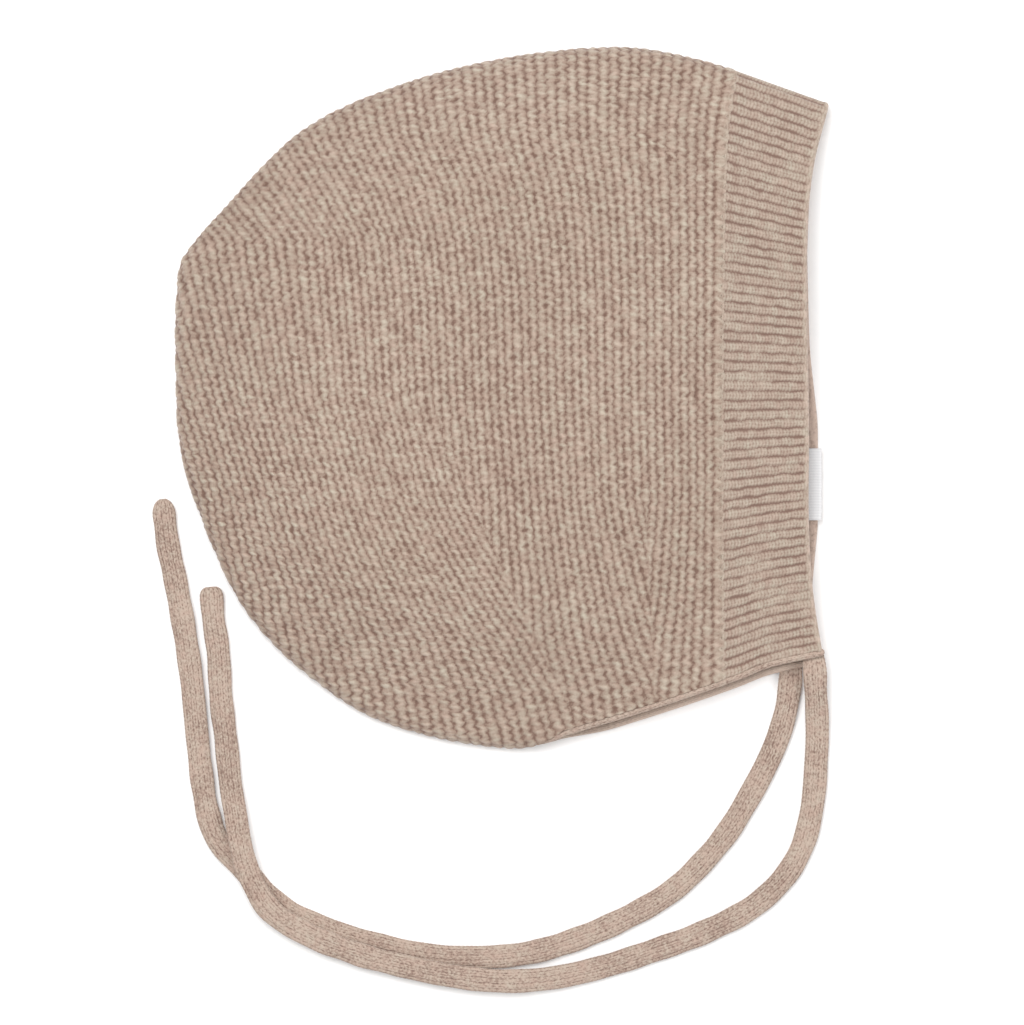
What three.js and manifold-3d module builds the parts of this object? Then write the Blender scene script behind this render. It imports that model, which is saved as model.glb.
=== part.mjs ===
// A knitted baby bonnet that lies folded flat on its side, in millimetres.
// +X points to the face opening, +Y to the top of the head and +Z up, with the surface that it lies on at Z = 0.
// One knitted crown is folded along its middle line into a lower and an upper layer. A ribbed band goes round the
// face opening, a rolled binding goes round the neck, and a flat tie hangs from each chin corner.
import * as THREE from 'three';
import { mergeVertices } from 'three/addons/utils/BufferGeometryUtils.js';
import Module from 'manifold-3d';

const wasm = await Module();
wasm.setup();

// Sizes of the bonnet as it lies
const BONNET_LENGTH = 162.5; // back of the head to the face edge
const BONNET_HEIGHT = 175.25; // top of the head to the nape
const FOLD_THICKNESS = 6; // both layers together at the folded edge
const CROWN_LOFT = 15; // how far the upper layer swells above that in the middle
const FACE_LOFT = 7; // the same at the face edge
const NECK_LOFT = 8; // the same at the neck edge
const LOFT_RUN = 40; // from the folded edge to the full height
const OPENING_RUN = 60; // from the face and neck edges to the full height

// Sizes of the pieces
const CROWN_WALL = 2.4;
const BAND_WALL = 2;
const RIB_PITCH = 2.5; // at the seam
const RIB_DEPTH = 0.5;
const BINDING_DIAMETER = 2.2;
const LOWER_PEEK = 1.9; // how far the lower layer's neck edge shows past the upper one
const TIE_WIDTH = 6.3;
const TIE_THICKNESS = 2.6;
const LABEL_HEIGHT = 18;
const LABEL_LENGTH = 5.2;
const LABEL_THICKNESS = 0.35;
const LABEL_PROUD = 1.3; // how far the loop stands out past the lower layer's face edge
const CLEARANCE = 0.3;

// The folded edge, from past the face edge over the top and the back of the head to past the nape. Each table holds
// shares of the bonnet's length and height, measured from its centre.
const FOLD_LINE = [
  { place: 'past the face', along: 0.6, up: 0.381 },
  { place: 'face corner', along: 0.5, up: 0.418 },
  { place: 'band seam', along: 0.36, up: 0.468 },
  { place: 'crown front', along: 0.229, up: 0.497 },
  { place: 'highest', along: 0.152, up: 0.5 },
  { place: 'crown', along: 0.006, up: 0.485 },
  { place: 'crown back', along: -0.148, up: 0.449 },
  { place: 'upper back', along: -0.302, up: 0.384 },
  { place: 'shoulder', along: -0.435, up: 0.261 },
  { place: 'above the corner', along: -0.475, up: 0.218 },
  { place: 'turning corner', along: -0.492, up: 0.194 },
  { place: 'rearmost', along: -0.5, up: 0.133 },
  { place: 'back', along: -0.5, up: 0.026 },
  { place: 'lower back', along: -0.495, up: -0.06 },
  { place: 'back of the neck', along: -0.471, up: -0.146 },
  { place: 'rounding under', along: -0.382, up: -0.317 },
  { place: 'under', along: -0.225, up: -0.442 },
  { place: 'lowest', along: -0.109, up: -0.482 },
  { place: 'before the nape', along: 0.006, up: -0.499 },
  { place: 'nape', along: 0.052, up: -0.5 },
  { place: 'past the nape', along: 0.214, up: -0.523 },
];

// The rest of the pouch's outline, clear of the face and neck edges that cut it open
const OPEN_SIDE = [
  { place: 'below the neck', along: 0.46, up: -0.53 },
  { place: 'below the chin', along: 0.62, up: -0.45 },
  { place: 'before the face', along: 0.66, up: 0 },
  { place: 'before the brow', along: 0.637, up: 0.282 },
];

// The seam between the crown and the band, and the face edge of each layer, from the top down
const SEAM = [
  { up: 0.468, along: 0.36 },
  { up: 0.368, along: 0.344 },
  { up: 0.14, along: 0.338 },
  { up: -0.145, along: 0.337 },
  { up: -0.45, along: 0.34 },
];
const UPPER_FACE_EDGE = [
  { up: 0.418, along: 0.5 },
  { up: 0.325, along: 0.479 },
  { up: 0.218, along: 0.469 },
  { up: -0.046, along: 0.472 },
  { up: -0.174, along: 0.472 },
  { up: -0.274, along: 0.479 },
  { up: -0.38, along: 0.497 },
];
const LOWER_FACE_EDGE = [
  { up: 0.418, along: 0.5 },
  { up: 0.325, along: 0.487 },
  { up: 0.218, along: 0.483 },
  { up: -0.174, along: 0.485 },
  { up: -0.38, along: 0.497 },
];

// The neck edge of the upper layer, from before the nape to the chin
const NECK_EDGE = [
  { along: -0.05, up: -0.502 },
  { along: 0.06, up: -0.497 },
  { along: 0.103, up: -0.481 },
  { along: 0.191, up: -0.456 },
  { along: 0.272, up: -0.432 },
  { along: 0.362, up: -0.403 },
  { along: 0.415, up: -0.384 },
  { along: 0.5, up: -0.367 },
];

// Soft hollows in the upper layer: where each lies, how far it spreads and how deep it is, as shares of the loft
const DENTS = [
  { place: 'middle of the crown', along: 0, up: -0.08, wide: 0.09, tall: 0.3, deep: 0.1 },
  { place: 'behind the corner', along: -0.3, up: 0.2, wide: 0.16, tall: 0.05, deep: 0.06 },
  { place: 'chin corner', along: 0.48, up: -0.38, wide: 0.1, tall: 0.12, deep: 0.13 },
];

// Where the middle of the label lies along the band's face edge, as a share of the height
const LABEL_MIDDLE = -0.123;

// Middle lines of the ties, from the chin corner to the free end, chosen by hand
const LOWER_TIE_ROUTE = [
  [72.6, -67.2, 1.4], [72.2, -72.5, 1.4], [71.2, -78.5, 1.4], [69.1, -85.5, 1.4], [65.7, -93.1, 1.4],
  [61.6, -100.6, 1.4], [57, -108.1, 1.4], [50.9, -115.6, 1.4], [43, -123.1, 1.4], [32.3, -129.5, 1.4],
  [19.8, -135, 1.4], [7.3, -138.7, 1.4], [-5.3, -139.9, 1.4], [-17.8, -139.4, 1.4], [-30.3, -136.9, 1.4],
  [-42.8, -133.1, 1.4], [-55.3, -127, 1.4], [-64.1, -118, 1.4], [-70.8, -110.6, 1.4], [-73.2, -104.3, 1.4],
  [-74.6, -96.8, 1.4], [-75.9, -85.5, 1.4], [-77.4, -70.5, 1.4], [-79, -59.3, 1.4], [-81.7, -44.3, 1.4],
  [-83.3, -36.8, 1.4], [-85, -26.2, 1.4],
];
const UPPER_TIE_ROUTE = [
  [78.4, -63.2, 7], [78.7, -67, 7], [79, -73, 5.1], [79.2, -79, 3], [79.1, -85.3, 1.7],
  [78.8, -91.5, 1.4], [78.5, -96.8, 1.4], [77.5, -104.3, 1.4], [75.5, -111.8, 1.4], [71.3, -119.3, 1.4],
  [63.3, -127, 1.4], [51, -133.5, 1.4], [38.5, -138.1, 1.4], [26, -142.1, 1.5], [13.5, -144.9, 2.3],
  [1, -145.7, 4], [-11.5, -144.5, 4.3], [-24, -142, 4.3], [-36.5, -138.7, 4.3], [-49, -133.7, 4.3],
  [-57.8, -127.8, 4.4], [-63, -118.8, 4.4], [-65.2, -110.8, 4.3], [-66.3, -104.4, 3.4], [-67.6, -96.8, 1.9],
  [-68.8, -85.5, 1.4], [-70, -75.5, 1.4], [-70.8, -63, 1.4], [-71.9, -55.5, 1.4], [-72.6, -47.2, 1.4],
];

// How finely the curves are faceted
const FOLD_STEPS = 240;
const POUCH_SECTORS = 80;
const POUCH_ROWS = 18;
const LINING_SECTORS = 64;
const LINING_ROWS = 16;
const EDGE_CROWDING = 0.3; // below 1, rows crowd towards the folded edge
const CUT_STEPS = 36;
const BAND_COLUMNS = 3;
const BINDING_STEPS = 26;
const BINDING_SIDES = 8;
const TIE_STEPS = 34;
const SLOPE_STEP = 0.5;

const FOLD_RADIUS = FOLD_THICKNESS / 2;
const CUT_REACH = BONNET_LENGTH; // well past the bonnet on every side

const wool = new THREE.MeshStandardMaterial({ color: 0xb39e8e, roughness: 0.95, metalness: 0 });
const ribbedWool = new THREE.MeshStandardMaterial({ color: 0xb2a090, roughness: 0.95, metalness: 0 });
const plainWool = new THREE.MeshStandardMaterial({ color: 0xbda796, roughness: 0.95, metalness: 0 });
const satin = new THREE.MeshStandardMaterial({ color: 0xe9e9e9, roughness: 0.5, metalness: 0 });

function place(row) {
  return new THREE.Vector3(row.along * BONNET_LENGTH, row.up * BONNET_HEIGHT, 0);
}

// Reads a table as a smooth curve: the value in column "out" where column "key" has the given share
function readTable(table, key, out, share) {
  const rising = table[table.length - 1][key] > table[0][key];
  const passed = table.filter((row) => (rising ? row[key] <= share : row[key] >= share)).length;
  const at = THREE.MathUtils.clamp(passed - 1, 0, table.length - 2);
  const [low, high] = [table[at], table[at + 1]];
  const before = table[Math.max(at - 1, 0)];
  const after = table[Math.min(at + 2, table.length - 1)];
  const span = high[key] - low[key];
  const t = (share - low[key]) / span;
  const slopeLow = ((high[out] - before[out]) / (high[key] - before[key])) * span;
  const slopeHigh = ((after[out] - low[out]) / (after[key] - low[key])) * span;
  const [t2, t3] = [t * t, t * t * t];
  const ends = (2 * t3 - 3 * t2 + 1) * low[out] + (3 * t2 - 2 * t3) * high[out];
  return ends + (t3 - 2 * t2 + t) * slopeLow + (t3 - t2) * slopeHigh;
}

function alongAt(table, y) {
  return readTable(table, 'up', 'along', y / BONNET_HEIGHT) * BONNET_LENGTH;
}

// The neck edge of a layer at a place along the bonnet; the lower layer's shows past the upper one's
function neckEdge(x, isUpper) {
  const upper = readTable(NECK_EDGE, 'along', 'up', x / BONNET_LENGTH) * BONNET_HEIGHT;
  if (isUpper) {
    return upper;
  }
  const nape = place(FOLD_LINE.find((row) => row.place === 'nape')).x;
  return upper - LOWER_PEEK * THREE.MathUtils.smoothstep(x, nape, nape + LOFT_RUN / 2);
}

// The neck edge moved a distance into the bonnet, at right angles to itself
function neckLine(x, isUpper, inset) {
  const rise = neckEdge(x + SLOPE_STEP, isUpper) - neckEdge(x - SLOPE_STEP, isUpper);
  return neckEdge(x, isUpper) + inset * Math.hypot(1, rise / (2 * SLOPE_STEP));
}

const foldCurve = new THREE.CatmullRomCurve3(FOLD_LINE.map(place));
const foldPoints = foldCurve.getSpacedPoints(FOLD_STEPS);
const foldSpans = foldPoints.slice(1).map((end, i) => new THREE.Line3(foldPoints[i], end));

function distanceToFold(point) {
  const nearest = new THREE.Vector3();
  const distances = foldSpans.map((span) => span.closestPointToPoint(point, true, nearest).distanceTo(point));
  return Math.min(...distances);
}

function dentDepth(point) {
  const depths = DENTS.map((dent) => {
    const centre = place(dent);
    const across = (point.x - centre.x) / (dent.wide * BONNET_LENGTH);
    const upwards = (point.y - centre.y) / (dent.tall * BONNET_HEIGHT);
    return dent.deep * CROWN_LOFT * Math.exp(-across * across - upwards * upwards);
  });
  return depths.reduce((sum, depth) => sum + depth, 0);
}

// How far the upper layer swells above the folded edge's thickness at a place on the plan
function loftAt(point) {
  const rise = Math.sin(Math.min(distanceToFold(point) / LOFT_RUN, 1) * (Math.PI / 2));
  const fromFace = alongAt(UPPER_FACE_EDGE, point.y) - point.x;
  const fromNeck = point.y - neckEdge(point.x, true);
  const faceRise = THREE.MathUtils.smoothstep(fromFace, 0, OPENING_RUN);
  const neckRise = THREE.MathUtils.smoothstep(fromNeck, 0, OPENING_RUN);
  const atFace = THREE.MathUtils.lerp(FACE_LOFT, CROWN_LOFT, faceRise);
  const atNeck = THREE.MathUtils.lerp(NECK_LOFT / CROWN_LOFT, 1, neckRise);
  return rise * Math.max(atFace * atNeck - dentDepth(point), 0);
}

// Height of a layer above or below the middle of the fold, where a round of the given radius ends flat
function foldRise(distance, radius) {
  const left = radius - THREE.MathUtils.clamp(distance, 0, radius);
  return Math.sqrt(radius * radius - left * left);
}

function toSolid(geometry) {
  const plain = geometry.clone();
  plain.deleteAttribute('normal');
  plain.deleteAttribute('uv');
  const merged = mergeVertices(plain);
  const mesh = new wasm.Mesh({
    numProp: 3,
    vertProperties: new Float32Array(merged.attributes.position.array),
    triVerts: new Uint32Array(merged.index.array),
  });
  return new wasm.Manifold(mesh);
}

function toGeometry(solid) {
  const mesh = solid.getMesh();
  const geometry = new THREE.BufferGeometry();
  geometry.setAttribute('position', new THREE.BufferAttribute(new Float32Array(mesh.vertProperties), 3));
  geometry.setIndex(new THREE.BufferAttribute(new Uint32Array(mesh.triVerts), 1));
  geometry.computeVertexNormals();
  return geometry;
}

// Moves every corner of a geometry by a function of its place
function reshape(geometry, move) {
  const corners = geometry.attributes.position;
  const corner = new THREE.Vector3();
  for (let i = 0; i < corners.count; i += 1) {
    corner.fromBufferAttribute(corners, i);
    const moved = move(corner);
    corners.setXYZ(i, moved.x, moved.y, moved.z);
  }
  geometry.deleteAttribute('normal');
  geometry.deleteAttribute('uv');
  const merged = mergeVertices(geometry);
  merged.computeVertexNormals();
  return merged;
}

// The pouch's whole outline, moved inwards by the wall
const outlineCurve = new THREE.CatmullRomCurve3([...FOLD_LINE, ...OPEN_SIDE].map(place), true);

function outlinePoints(wall) {
  return outlineCurve.getSpacedPoints(FOLD_STEPS).map((point, i) => {
    const tangent = outlineCurve.getTangentAt((i % FOLD_STEPS) / FOLD_STEPS);
    return new THREE.Vector3(point.x - tangent.y * wall, point.y + tangent.x * wall, 0);
  });
}

// Distance from the centre to a closed outline in a direction
function reachOf(points, angle) {
  const [cos, sin] = [Math.cos(angle), Math.sin(angle)];
  for (let i = 1; i < points.length; i += 1) {
    const [from, to] = [points[i - 1], points[i]];
    const [sideFrom, sideTo] = [cos * from.y - sin * from.x, cos * to.y - sin * to.x];
    if (sideFrom * sideTo <= 0 && sideFrom !== sideTo) {
      const crossing = from.clone().lerp(to, sideFrom / (sideFrom - sideTo));
      const reach = cos * crossing.x + sin * crossing.y;
      if (reach > 0) {
        return reach;
      }
    }
  }
  return 0;
}

// A full pillow of the bonnet's form, smaller by the wall all over
function pillow(wall, sectors, rows) {
  const outline = outlinePoints(wall);
  const radius = FOLD_RADIUS - wall;
  const ball = new THREE.SphereGeometry(1, sectors, rows);
  ball.rotateX(Math.PI / 2);
  const shape = reshape(ball, (corner) => {
    const flat = Math.hypot(corner.x, corner.y);
    const angle = Math.atan2(corner.y, corner.x);
    const reach = reachOf(outline, angle) * flat ** EDGE_CROWDING;
    const point = new THREE.Vector3(Math.cos(angle) * reach, Math.sin(angle) * reach, 0);
    const isRim = Math.abs(corner.z) < 1e-6;
    const rise = isRim ? 0 : foldRise(distanceToFold(point) - wall, radius);
    const loft = corner.z > 0 && !isRim ? loftAt(point) : 0;
    return point.setZ(FOLD_RADIUS + Math.sign(corner.z) * rise + loft);
  });
  return toSolid(shape);
}

// What is left of one layer of the crown when the band and the neck are cut away
function crownCut(isUpper) {
  const inset = BINDING_DIAMETER + CLEARANCE;
  const bottom = neckLine(alongAt(SEAM, SEAM[4].up * BONNET_HEIGHT), isUpper, inset);
  const outline = new THREE.Shape();
  outline.moveTo(-CUT_REACH, -CUT_REACH);
  const napeSide = place(NECK_EDGE[0]).x;
  outline.lineTo(napeSide, -CUT_REACH);
  for (let i = 0; i <= CUT_STEPS; i += 1) {
    const x = THREE.MathUtils.lerp(napeSide, alongAt(SEAM, bottom) - CLEARANCE / 2, i / CUT_STEPS);
    outline.lineTo(x, neckLine(x, isUpper, inset));
  }
  const top = SEAM[0].up * BONNET_HEIGHT;
  for (let i = 1; i <= CUT_STEPS; i += 1) {
    const y = THREE.MathUtils.lerp(bottom, top, i / CUT_STEPS);
    outline.lineTo(alongAt(SEAM, y) - CLEARANCE / 2, y);
  }
  outline.lineTo(alongAt(SEAM, top) - CLEARANCE / 2, CUT_REACH);
  outline.lineTo(-CUT_REACH, CUT_REACH);
  const prism = new THREE.ExtrudeGeometry(outline, { depth: CUT_REACH, bevelEnabled: false });
  prism.translate(0, 0, isUpper ? FOLD_RADIUS : FOLD_RADIUS - CUT_REACH);
  return toSolid(prism);
}

function makeCrown() {
  const outside = pillow(0, POUCH_SECTORS, POUCH_ROWS);
  const inside = pillow(CROWN_WALL, LINING_SECTORS, LINING_ROWS);
  const cut = crownCut(true).add(crownCut(false));
  const mesh = new THREE.Mesh(toGeometry(outside.subtract(inside).intersect(cut)), wool);
  mesh.name = 'crown';
  return mesh;
}

// A place on the band: across from the seam (0) to the face edge (1), at a distance down from the folded edge
function bandPlan(across, down, isUpper) {
  const inset = BINDING_DIAMETER + CLEARANCE;
  const faceTable = isUpper ? UPPER_FACE_EDGE : LOWER_FACE_EDGE;
  const seamTop = SEAM[0].up * BONNET_HEIGHT;
  const seamBottom = neckLine(alongAt(SEAM, SEAM[4].up * BONNET_HEIGHT), isUpper, inset);
  const faceTop = faceTable[0].up * BONNET_HEIGHT;
  const lastRow = faceTable[faceTable.length - 1];
  const faceBottom = neckLine(alongAt(faceTable, lastRow.up * BONNET_HEIGHT), isUpper, inset);
  const share = down / (seamTop - seamBottom);
  const seamY = THREE.MathUtils.lerp(seamTop, seamBottom, share);
  const faceY = THREE.MathUtils.lerp(faceTop, faceBottom, share);
  const seamX = alongAt(SEAM, seamY) + CLEARANCE / 2;
  const x = THREE.MathUtils.lerp(seamX, alongAt(faceTable, faceY), across);
  const straightEnd = THREE.MathUtils.lerp(seamBottom, faceBottom, across);
  const bow = (neckLine(x, isUpper, inset) - straightEnd) * share ** 4;
  return new THREE.Vector3(x, THREE.MathUtils.lerp(seamY, faceY, across) + bow, 0);
}

// The band is one ribbed sheet that goes down the upper layer, round the folded edge and down the lower layer
function makeBand() {
  const seamTop = SEAM[0].up * BONNET_HEIGHT;
  const arc = (Math.PI / 2) * FOLD_RADIUS;
  const girths = [true, false].map((isUpper) => {
    const end = neckLine(alongAt(SEAM, SEAM[4].up * BONNET_HEIGHT), isUpper, BINDING_DIAMETER + CLEARANCE);
    return arc + (seamTop - end) - FOLD_RADIUS;
  });
  const ribs = Math.round(girths[0] / RIB_PITCH);
  const sheet = new THREE.BoxGeometry(1, 1, 1, BAND_COLUMNS, 4 * ribs, 1);
  const shape = reshape(sheet, (corner) => {
    const isUpper = corner.y < 0;
    const row = Math.round(Math.abs(corner.y) * 4 * ribs);
    const girth = (row / (2 * ribs)) * girths[isUpper ? 0 : 1];
    const isOutside = corner.z > 0;
    const depth = isOutside ? RIB_DEPTH * (row % 2) : BAND_WALL;
    const left = FOLD_RADIUS - depth;
    const turn = Math.min(girth / FOLD_RADIUS, Math.PI / 2);
    const down = FOLD_RADIUS - left * Math.cos(turn) + Math.max(girth - arc, 0);
    const point = bandPlan(corner.x + 0.5, down, isUpper);
    const rise = left * Math.sin(turn);
    return point.setZ(isUpper ? FOLD_RADIUS + rise + loftAt(point) : FOLD_RADIUS - rise);
  });
  const mesh = new THREE.Mesh(shape, ribbedWool);
  mesh.name = 'face_band';
  return mesh;
}

// A closed tube of a many-sided section along a smooth line
function tube(section, points, steps) {
  const path = new THREE.CatmullRomCurve3(points);
  return new THREE.ExtrudeGeometry(section, { steps, extrudePath: path, bevelEnabled: false });
}

function ovalSection(width, height, sides) {
  const shape = new THREE.Shape();
  for (let i = 0; i < sides; i += 1) {
    const angle = ((i + 0.5) / sides) * 2 * Math.PI;
    const corner = [(width / 2) * Math.cos(angle), (height / 2) * Math.sin(angle)];
    if (i === 0) {
      shape.moveTo(...corner);
    } else {
      shape.lineTo(...corner);
    }
  }
  shape.closePath();
  return shape;
}

// The binding runs along the upper neck edge to the nape, turns round the folded edge and runs back below
function makeBinding() {
  const radius = BINDING_DIAMETER / 2;
  const nape = place(FOLD_LINE.find((row) => row.place === 'nape')).x;
  const starts = [true, false].map((isUpper) => {
    const route = isUpper ? UPPER_TIE_ROUTE : LOWER_TIE_ROUTE;
    return route[0][0] - TIE_WIDTH / 2 - 2 * CLEARANCE;
  });
  const points = [];
  for (let i = 0; i <= CUT_STEPS; i += 1) {
    const x = THREE.MathUtils.lerp(starts[0], nape, i / CUT_STEPS);
    const point = new THREE.Vector3(x, neckLine(x, true, radius), 0);
    points.push(point.setZ(FOLD_THICKNESS + loftAt(point) - CROWN_WALL / 2));
  }
  const turn = new THREE.Vector3(nape - FOLD_RADIUS + radius, neckLine(nape - FOLD_RADIUS, true, radius), FOLD_RADIUS);
  points.push(turn);
  for (let i = CUT_STEPS; i >= 0; i -= 1) {
    const x = THREE.MathUtils.lerp(starts[1], nape, i / CUT_STEPS);
    points.push(new THREE.Vector3(x, neckLine(x, false, radius), radius + CLEARANCE / 2));
  }
  const section = ovalSection(BINDING_DIAMETER, BINDING_DIAMETER, BINDING_SIDES);
  const mesh = new THREE.Mesh(tube(section, points, 2 * BINDING_STEPS), plainWool);
  mesh.name = 'neck_binding';
  return mesh;
}

// A flat tubular tie: a rounded strip, wider than it is thick, laid with its flat side down
function makeTie(name, route) {
  const [flat, wide] = [TIE_THICKNESS / 2, TIE_WIDTH / 2];
  const side = wide - flat;
  const section = new THREE.Shape();
  section.moveTo(-flat, -side);
  section.lineTo(-flat * Math.SQRT1_2, -side - flat * Math.SQRT1_2);
  section.lineTo(0, -wide);
  section.lineTo(flat * Math.SQRT1_2, -side - flat * Math.SQRT1_2);
  section.lineTo(flat, -side);
  section.lineTo(flat, side);
  section.lineTo(flat * Math.SQRT1_2, side + flat * Math.SQRT1_2);
  section.lineTo(0, wide);
  section.lineTo(-flat * Math.SQRT1_2, side + flat * Math.SQRT1_2);
  section.lineTo(-flat, side);
  section.closePath();
  const points = route.map((point) => new THREE.Vector3(...point));
  const mesh = new THREE.Mesh(tube(section, points, TIE_STEPS), plainWool);
  mesh.name = name;
  return mesh;
}

// The label is a ribbon folded in two, with its fold forward, on the inside of the lower layer
function makeLabel() {
  const gap = CLEARANCE;
  const half = LABEL_THICKNESS + gap / 2;
  const back = half - LABEL_LENGTH;
  const profile = new THREE.Shape();
  profile.moveTo(back, -half);
  profile.lineTo(0, -half);
  profile.absarc(0, 0, half, -Math.PI / 2, Math.PI / 2, false);
  profile.lineTo(back, half);
  profile.lineTo(back, gap / 2);
  profile.lineTo(0, gap / 2);
  profile.absarc(0, 0, gap / 2, Math.PI / 2, -Math.PI / 2, true);
  profile.lineTo(back, -gap / 2);
  profile.closePath();
  const options = { depth: LABEL_HEIGHT, bevelEnabled: false, curveSegments: 4 };
  const ribbon = new THREE.ExtrudeGeometry(profile, options);
  ribbon.rotateX(Math.PI / 2);
  const mesh = new THREE.Mesh(ribbon, satin);
  const middle = LABEL_MIDDLE * BONNET_HEIGHT;
  const edge = alongAt(LOWER_FACE_EDGE, middle);
  mesh.position.set(edge + LABEL_PROUD - half, middle + LABEL_HEIGHT / 2, BAND_WALL + CLEARANCE + half);
  mesh.name = 'label';
  return mesh;
}

const bonnet = new THREE.Group();
bonnet.add(makeCrown());
bonnet.add(makeBand());
bonnet.add(makeBinding());
bonnet.add(makeTie('tie_near', UPPER_TIE_ROUTE));
bonnet.add(makeTie('tie_far', LOWER_TIE_ROUTE));
bonnet.add(makeLabel());

export default bonnet;
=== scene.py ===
"""A knitted baby bonnet that lies folded flat on its side, seen from straight above.

A garter-stitch crown is folded along its middle line into two layers. A ribbed band goes round the face
opening, a rolled binding goes round the neck, a flat knitted tie hangs from each chin corner, and a folded
satin ribbon is sewn inside the band. Everything is in metres, +X to the face opening, +Y to the top of the
head and +Z up.
"""

import logging
import math
from dataclasses import dataclass
from enum import Enum
from typing import NamedTuple

import bmesh
import bpy
import numpy as np
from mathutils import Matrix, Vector


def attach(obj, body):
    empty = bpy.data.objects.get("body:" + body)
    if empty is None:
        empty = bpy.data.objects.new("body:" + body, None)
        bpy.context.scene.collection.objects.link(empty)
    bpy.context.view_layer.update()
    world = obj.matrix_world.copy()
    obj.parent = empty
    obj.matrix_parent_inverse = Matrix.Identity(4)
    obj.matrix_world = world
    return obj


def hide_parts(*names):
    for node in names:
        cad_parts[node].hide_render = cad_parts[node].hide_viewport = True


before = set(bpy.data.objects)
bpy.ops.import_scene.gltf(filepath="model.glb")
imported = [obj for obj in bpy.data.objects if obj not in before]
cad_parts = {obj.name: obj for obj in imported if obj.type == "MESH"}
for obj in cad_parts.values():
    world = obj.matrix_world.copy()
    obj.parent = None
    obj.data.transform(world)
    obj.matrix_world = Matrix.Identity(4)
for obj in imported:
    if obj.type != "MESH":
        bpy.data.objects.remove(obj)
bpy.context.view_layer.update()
log = logging.getLogger("bonnet")

MM = 0.001

# Sizes of the bonnet as it lies
BONNET_LENGTH = 162.5 * MM
BONNET_HEIGHT = 175.25 * MM
FOLD_THICKNESS = 6 * MM
CROWN_LOFT = 15 * MM
FACE_LOFT = 7 * MM
NECK_LOFT = 8 * MM
LOFT_RUN = 40 * MM
OPENING_RUN = 60 * MM
CROWN_WALL = 2.4 * MM
BAND_WALL = 2 * MM
RIB_PITCH = 2.5 * MM
BINDING_DIAMETER = 2.2 * MM
LOWER_PEEK = 1.9 * MM
TIE_WIDTH = 6.3 * MM
TIE_THICKNESS = 2.6 * MM
CLEARANCE = 0.3 * MM
FOLD_RADIUS = FOLD_THICKNESS / 2

# How far inside the neck edge the crown and the band end, under the roll
CROWN_INSET = BINDING_DIAMETER * 0.7
BAND_INSET = BINDING_DIAMETER * 0.85

# Corners nearer than this are one corner
SAME_CORNER = 0.001 * MM


class Side(Enum):
    """The two layers of the folded bonnet."""

    UPPER = "near"
    LOWER = "far"


class Along(NamedTuple):
    """A place on a table, as shares of the bonnet's length and height from its centre."""

    along: float
    up: float


class Dent(NamedTuple):
    """A soft hollow in the upper layer: its place, its spread and its depth as a share of the loft."""

    along: float
    up: float
    wide: float
    tall: float
    deep: float

    def depth(self, x: np.ndarray, y: np.ndarray) -> np.ndarray:
        """How deep the hollow is at places on the plan, as a share of the loft.

        Args:
            x: places along the bonnet.
            y: places up the bonnet.

        Returns:
            The depths.
        """
        across = (x - self.along * BONNET_LENGTH) / (self.wide * BONNET_LENGTH)
        upwards = (y - self.up * BONNET_HEIGHT) / (self.tall * BONNET_HEIGHT)
        return self.deep * np.exp(-across * across - upwards * upwards)


# The folded edge, from past the face edge over the top and the back of the head to past the nape
FOLD_LINE = (
    Along(0.6, 0.381), Along(0.5, 0.418), Along(0.36, 0.468), Along(0.229, 0.497), Along(0.152, 0.5),
    Along(0.006, 0.485), Along(-0.148, 0.449), Along(-0.302, 0.384), Along(-0.435, 0.261),
    Along(-0.475, 0.218), Along(-0.492, 0.194), Along(-0.5, 0.133), Along(-0.5, 0.026),
    Along(-0.495, -0.06), Along(-0.471, -0.146), Along(-0.382, -0.317), Along(-0.225, -0.442),
    Along(-0.109, -0.482), Along(0.006, -0.499), Along(0.052, -0.5), Along(0.214, -0.523),
)
NAPE_X = FOLD_LINE[19].along * BONNET_LENGTH

# Rows of the folded edge between which the back of the head lies
BACK_TOP, BACK_BOTTOM = 9, 15

# The seam between the crown and the band, and the face edge of each layer, from the top down
SEAM = (Along(0.36, 0.468), Along(0.344, 0.368), Along(0.338, 0.14), Along(0.337, -0.145), Along(0.34, -0.45))
UPPER_FACE_EDGE = (
    Along(0.505, 0.42), Along(0.479, 0.325), Along(0.469, 0.218), Along(0.472, -0.046), Along(0.472, -0.174),
    Along(0.479, -0.274), Along(0.497, -0.38),
)
LOWER_FACE_EDGE = (
    Along(0.505, 0.42), Along(0.48, 0.325), Along(0.472, 0.218), Along(0.473, 0.15), Along(0.476, 0.068),
    Along(0.4825, 0.01), Along(0.487, -0.03), Along(0.488, -0.06), Along(0.488, -0.174), Along(0.485, -0.21),
    Along(0.482, -0.24), Along(0.48, -0.274), Along(0.496, -0.38),
)

# The neck edge of the upper layer, from before the nape to the chin
NECK_EDGE = (
    Along(-0.05, -0.502), Along(0.06, -0.497), Along(0.103, -0.481), Along(0.191, -0.456),
    Along(0.272, -0.432), Along(0.362, -0.403), Along(0.415, -0.384), Along(0.5, -0.367),
)

# Soft hollows of the upper layer
CROWN_DENTS = (Dent(0, -0.08, 0.09, 0.3, 0.1), Dent(-0.3, 0.2, 0.16, 0.05, 0.06))
CHIN_DENT = Dent(0.48, -0.38, 0.1, 0.12, 0.13)

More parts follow.
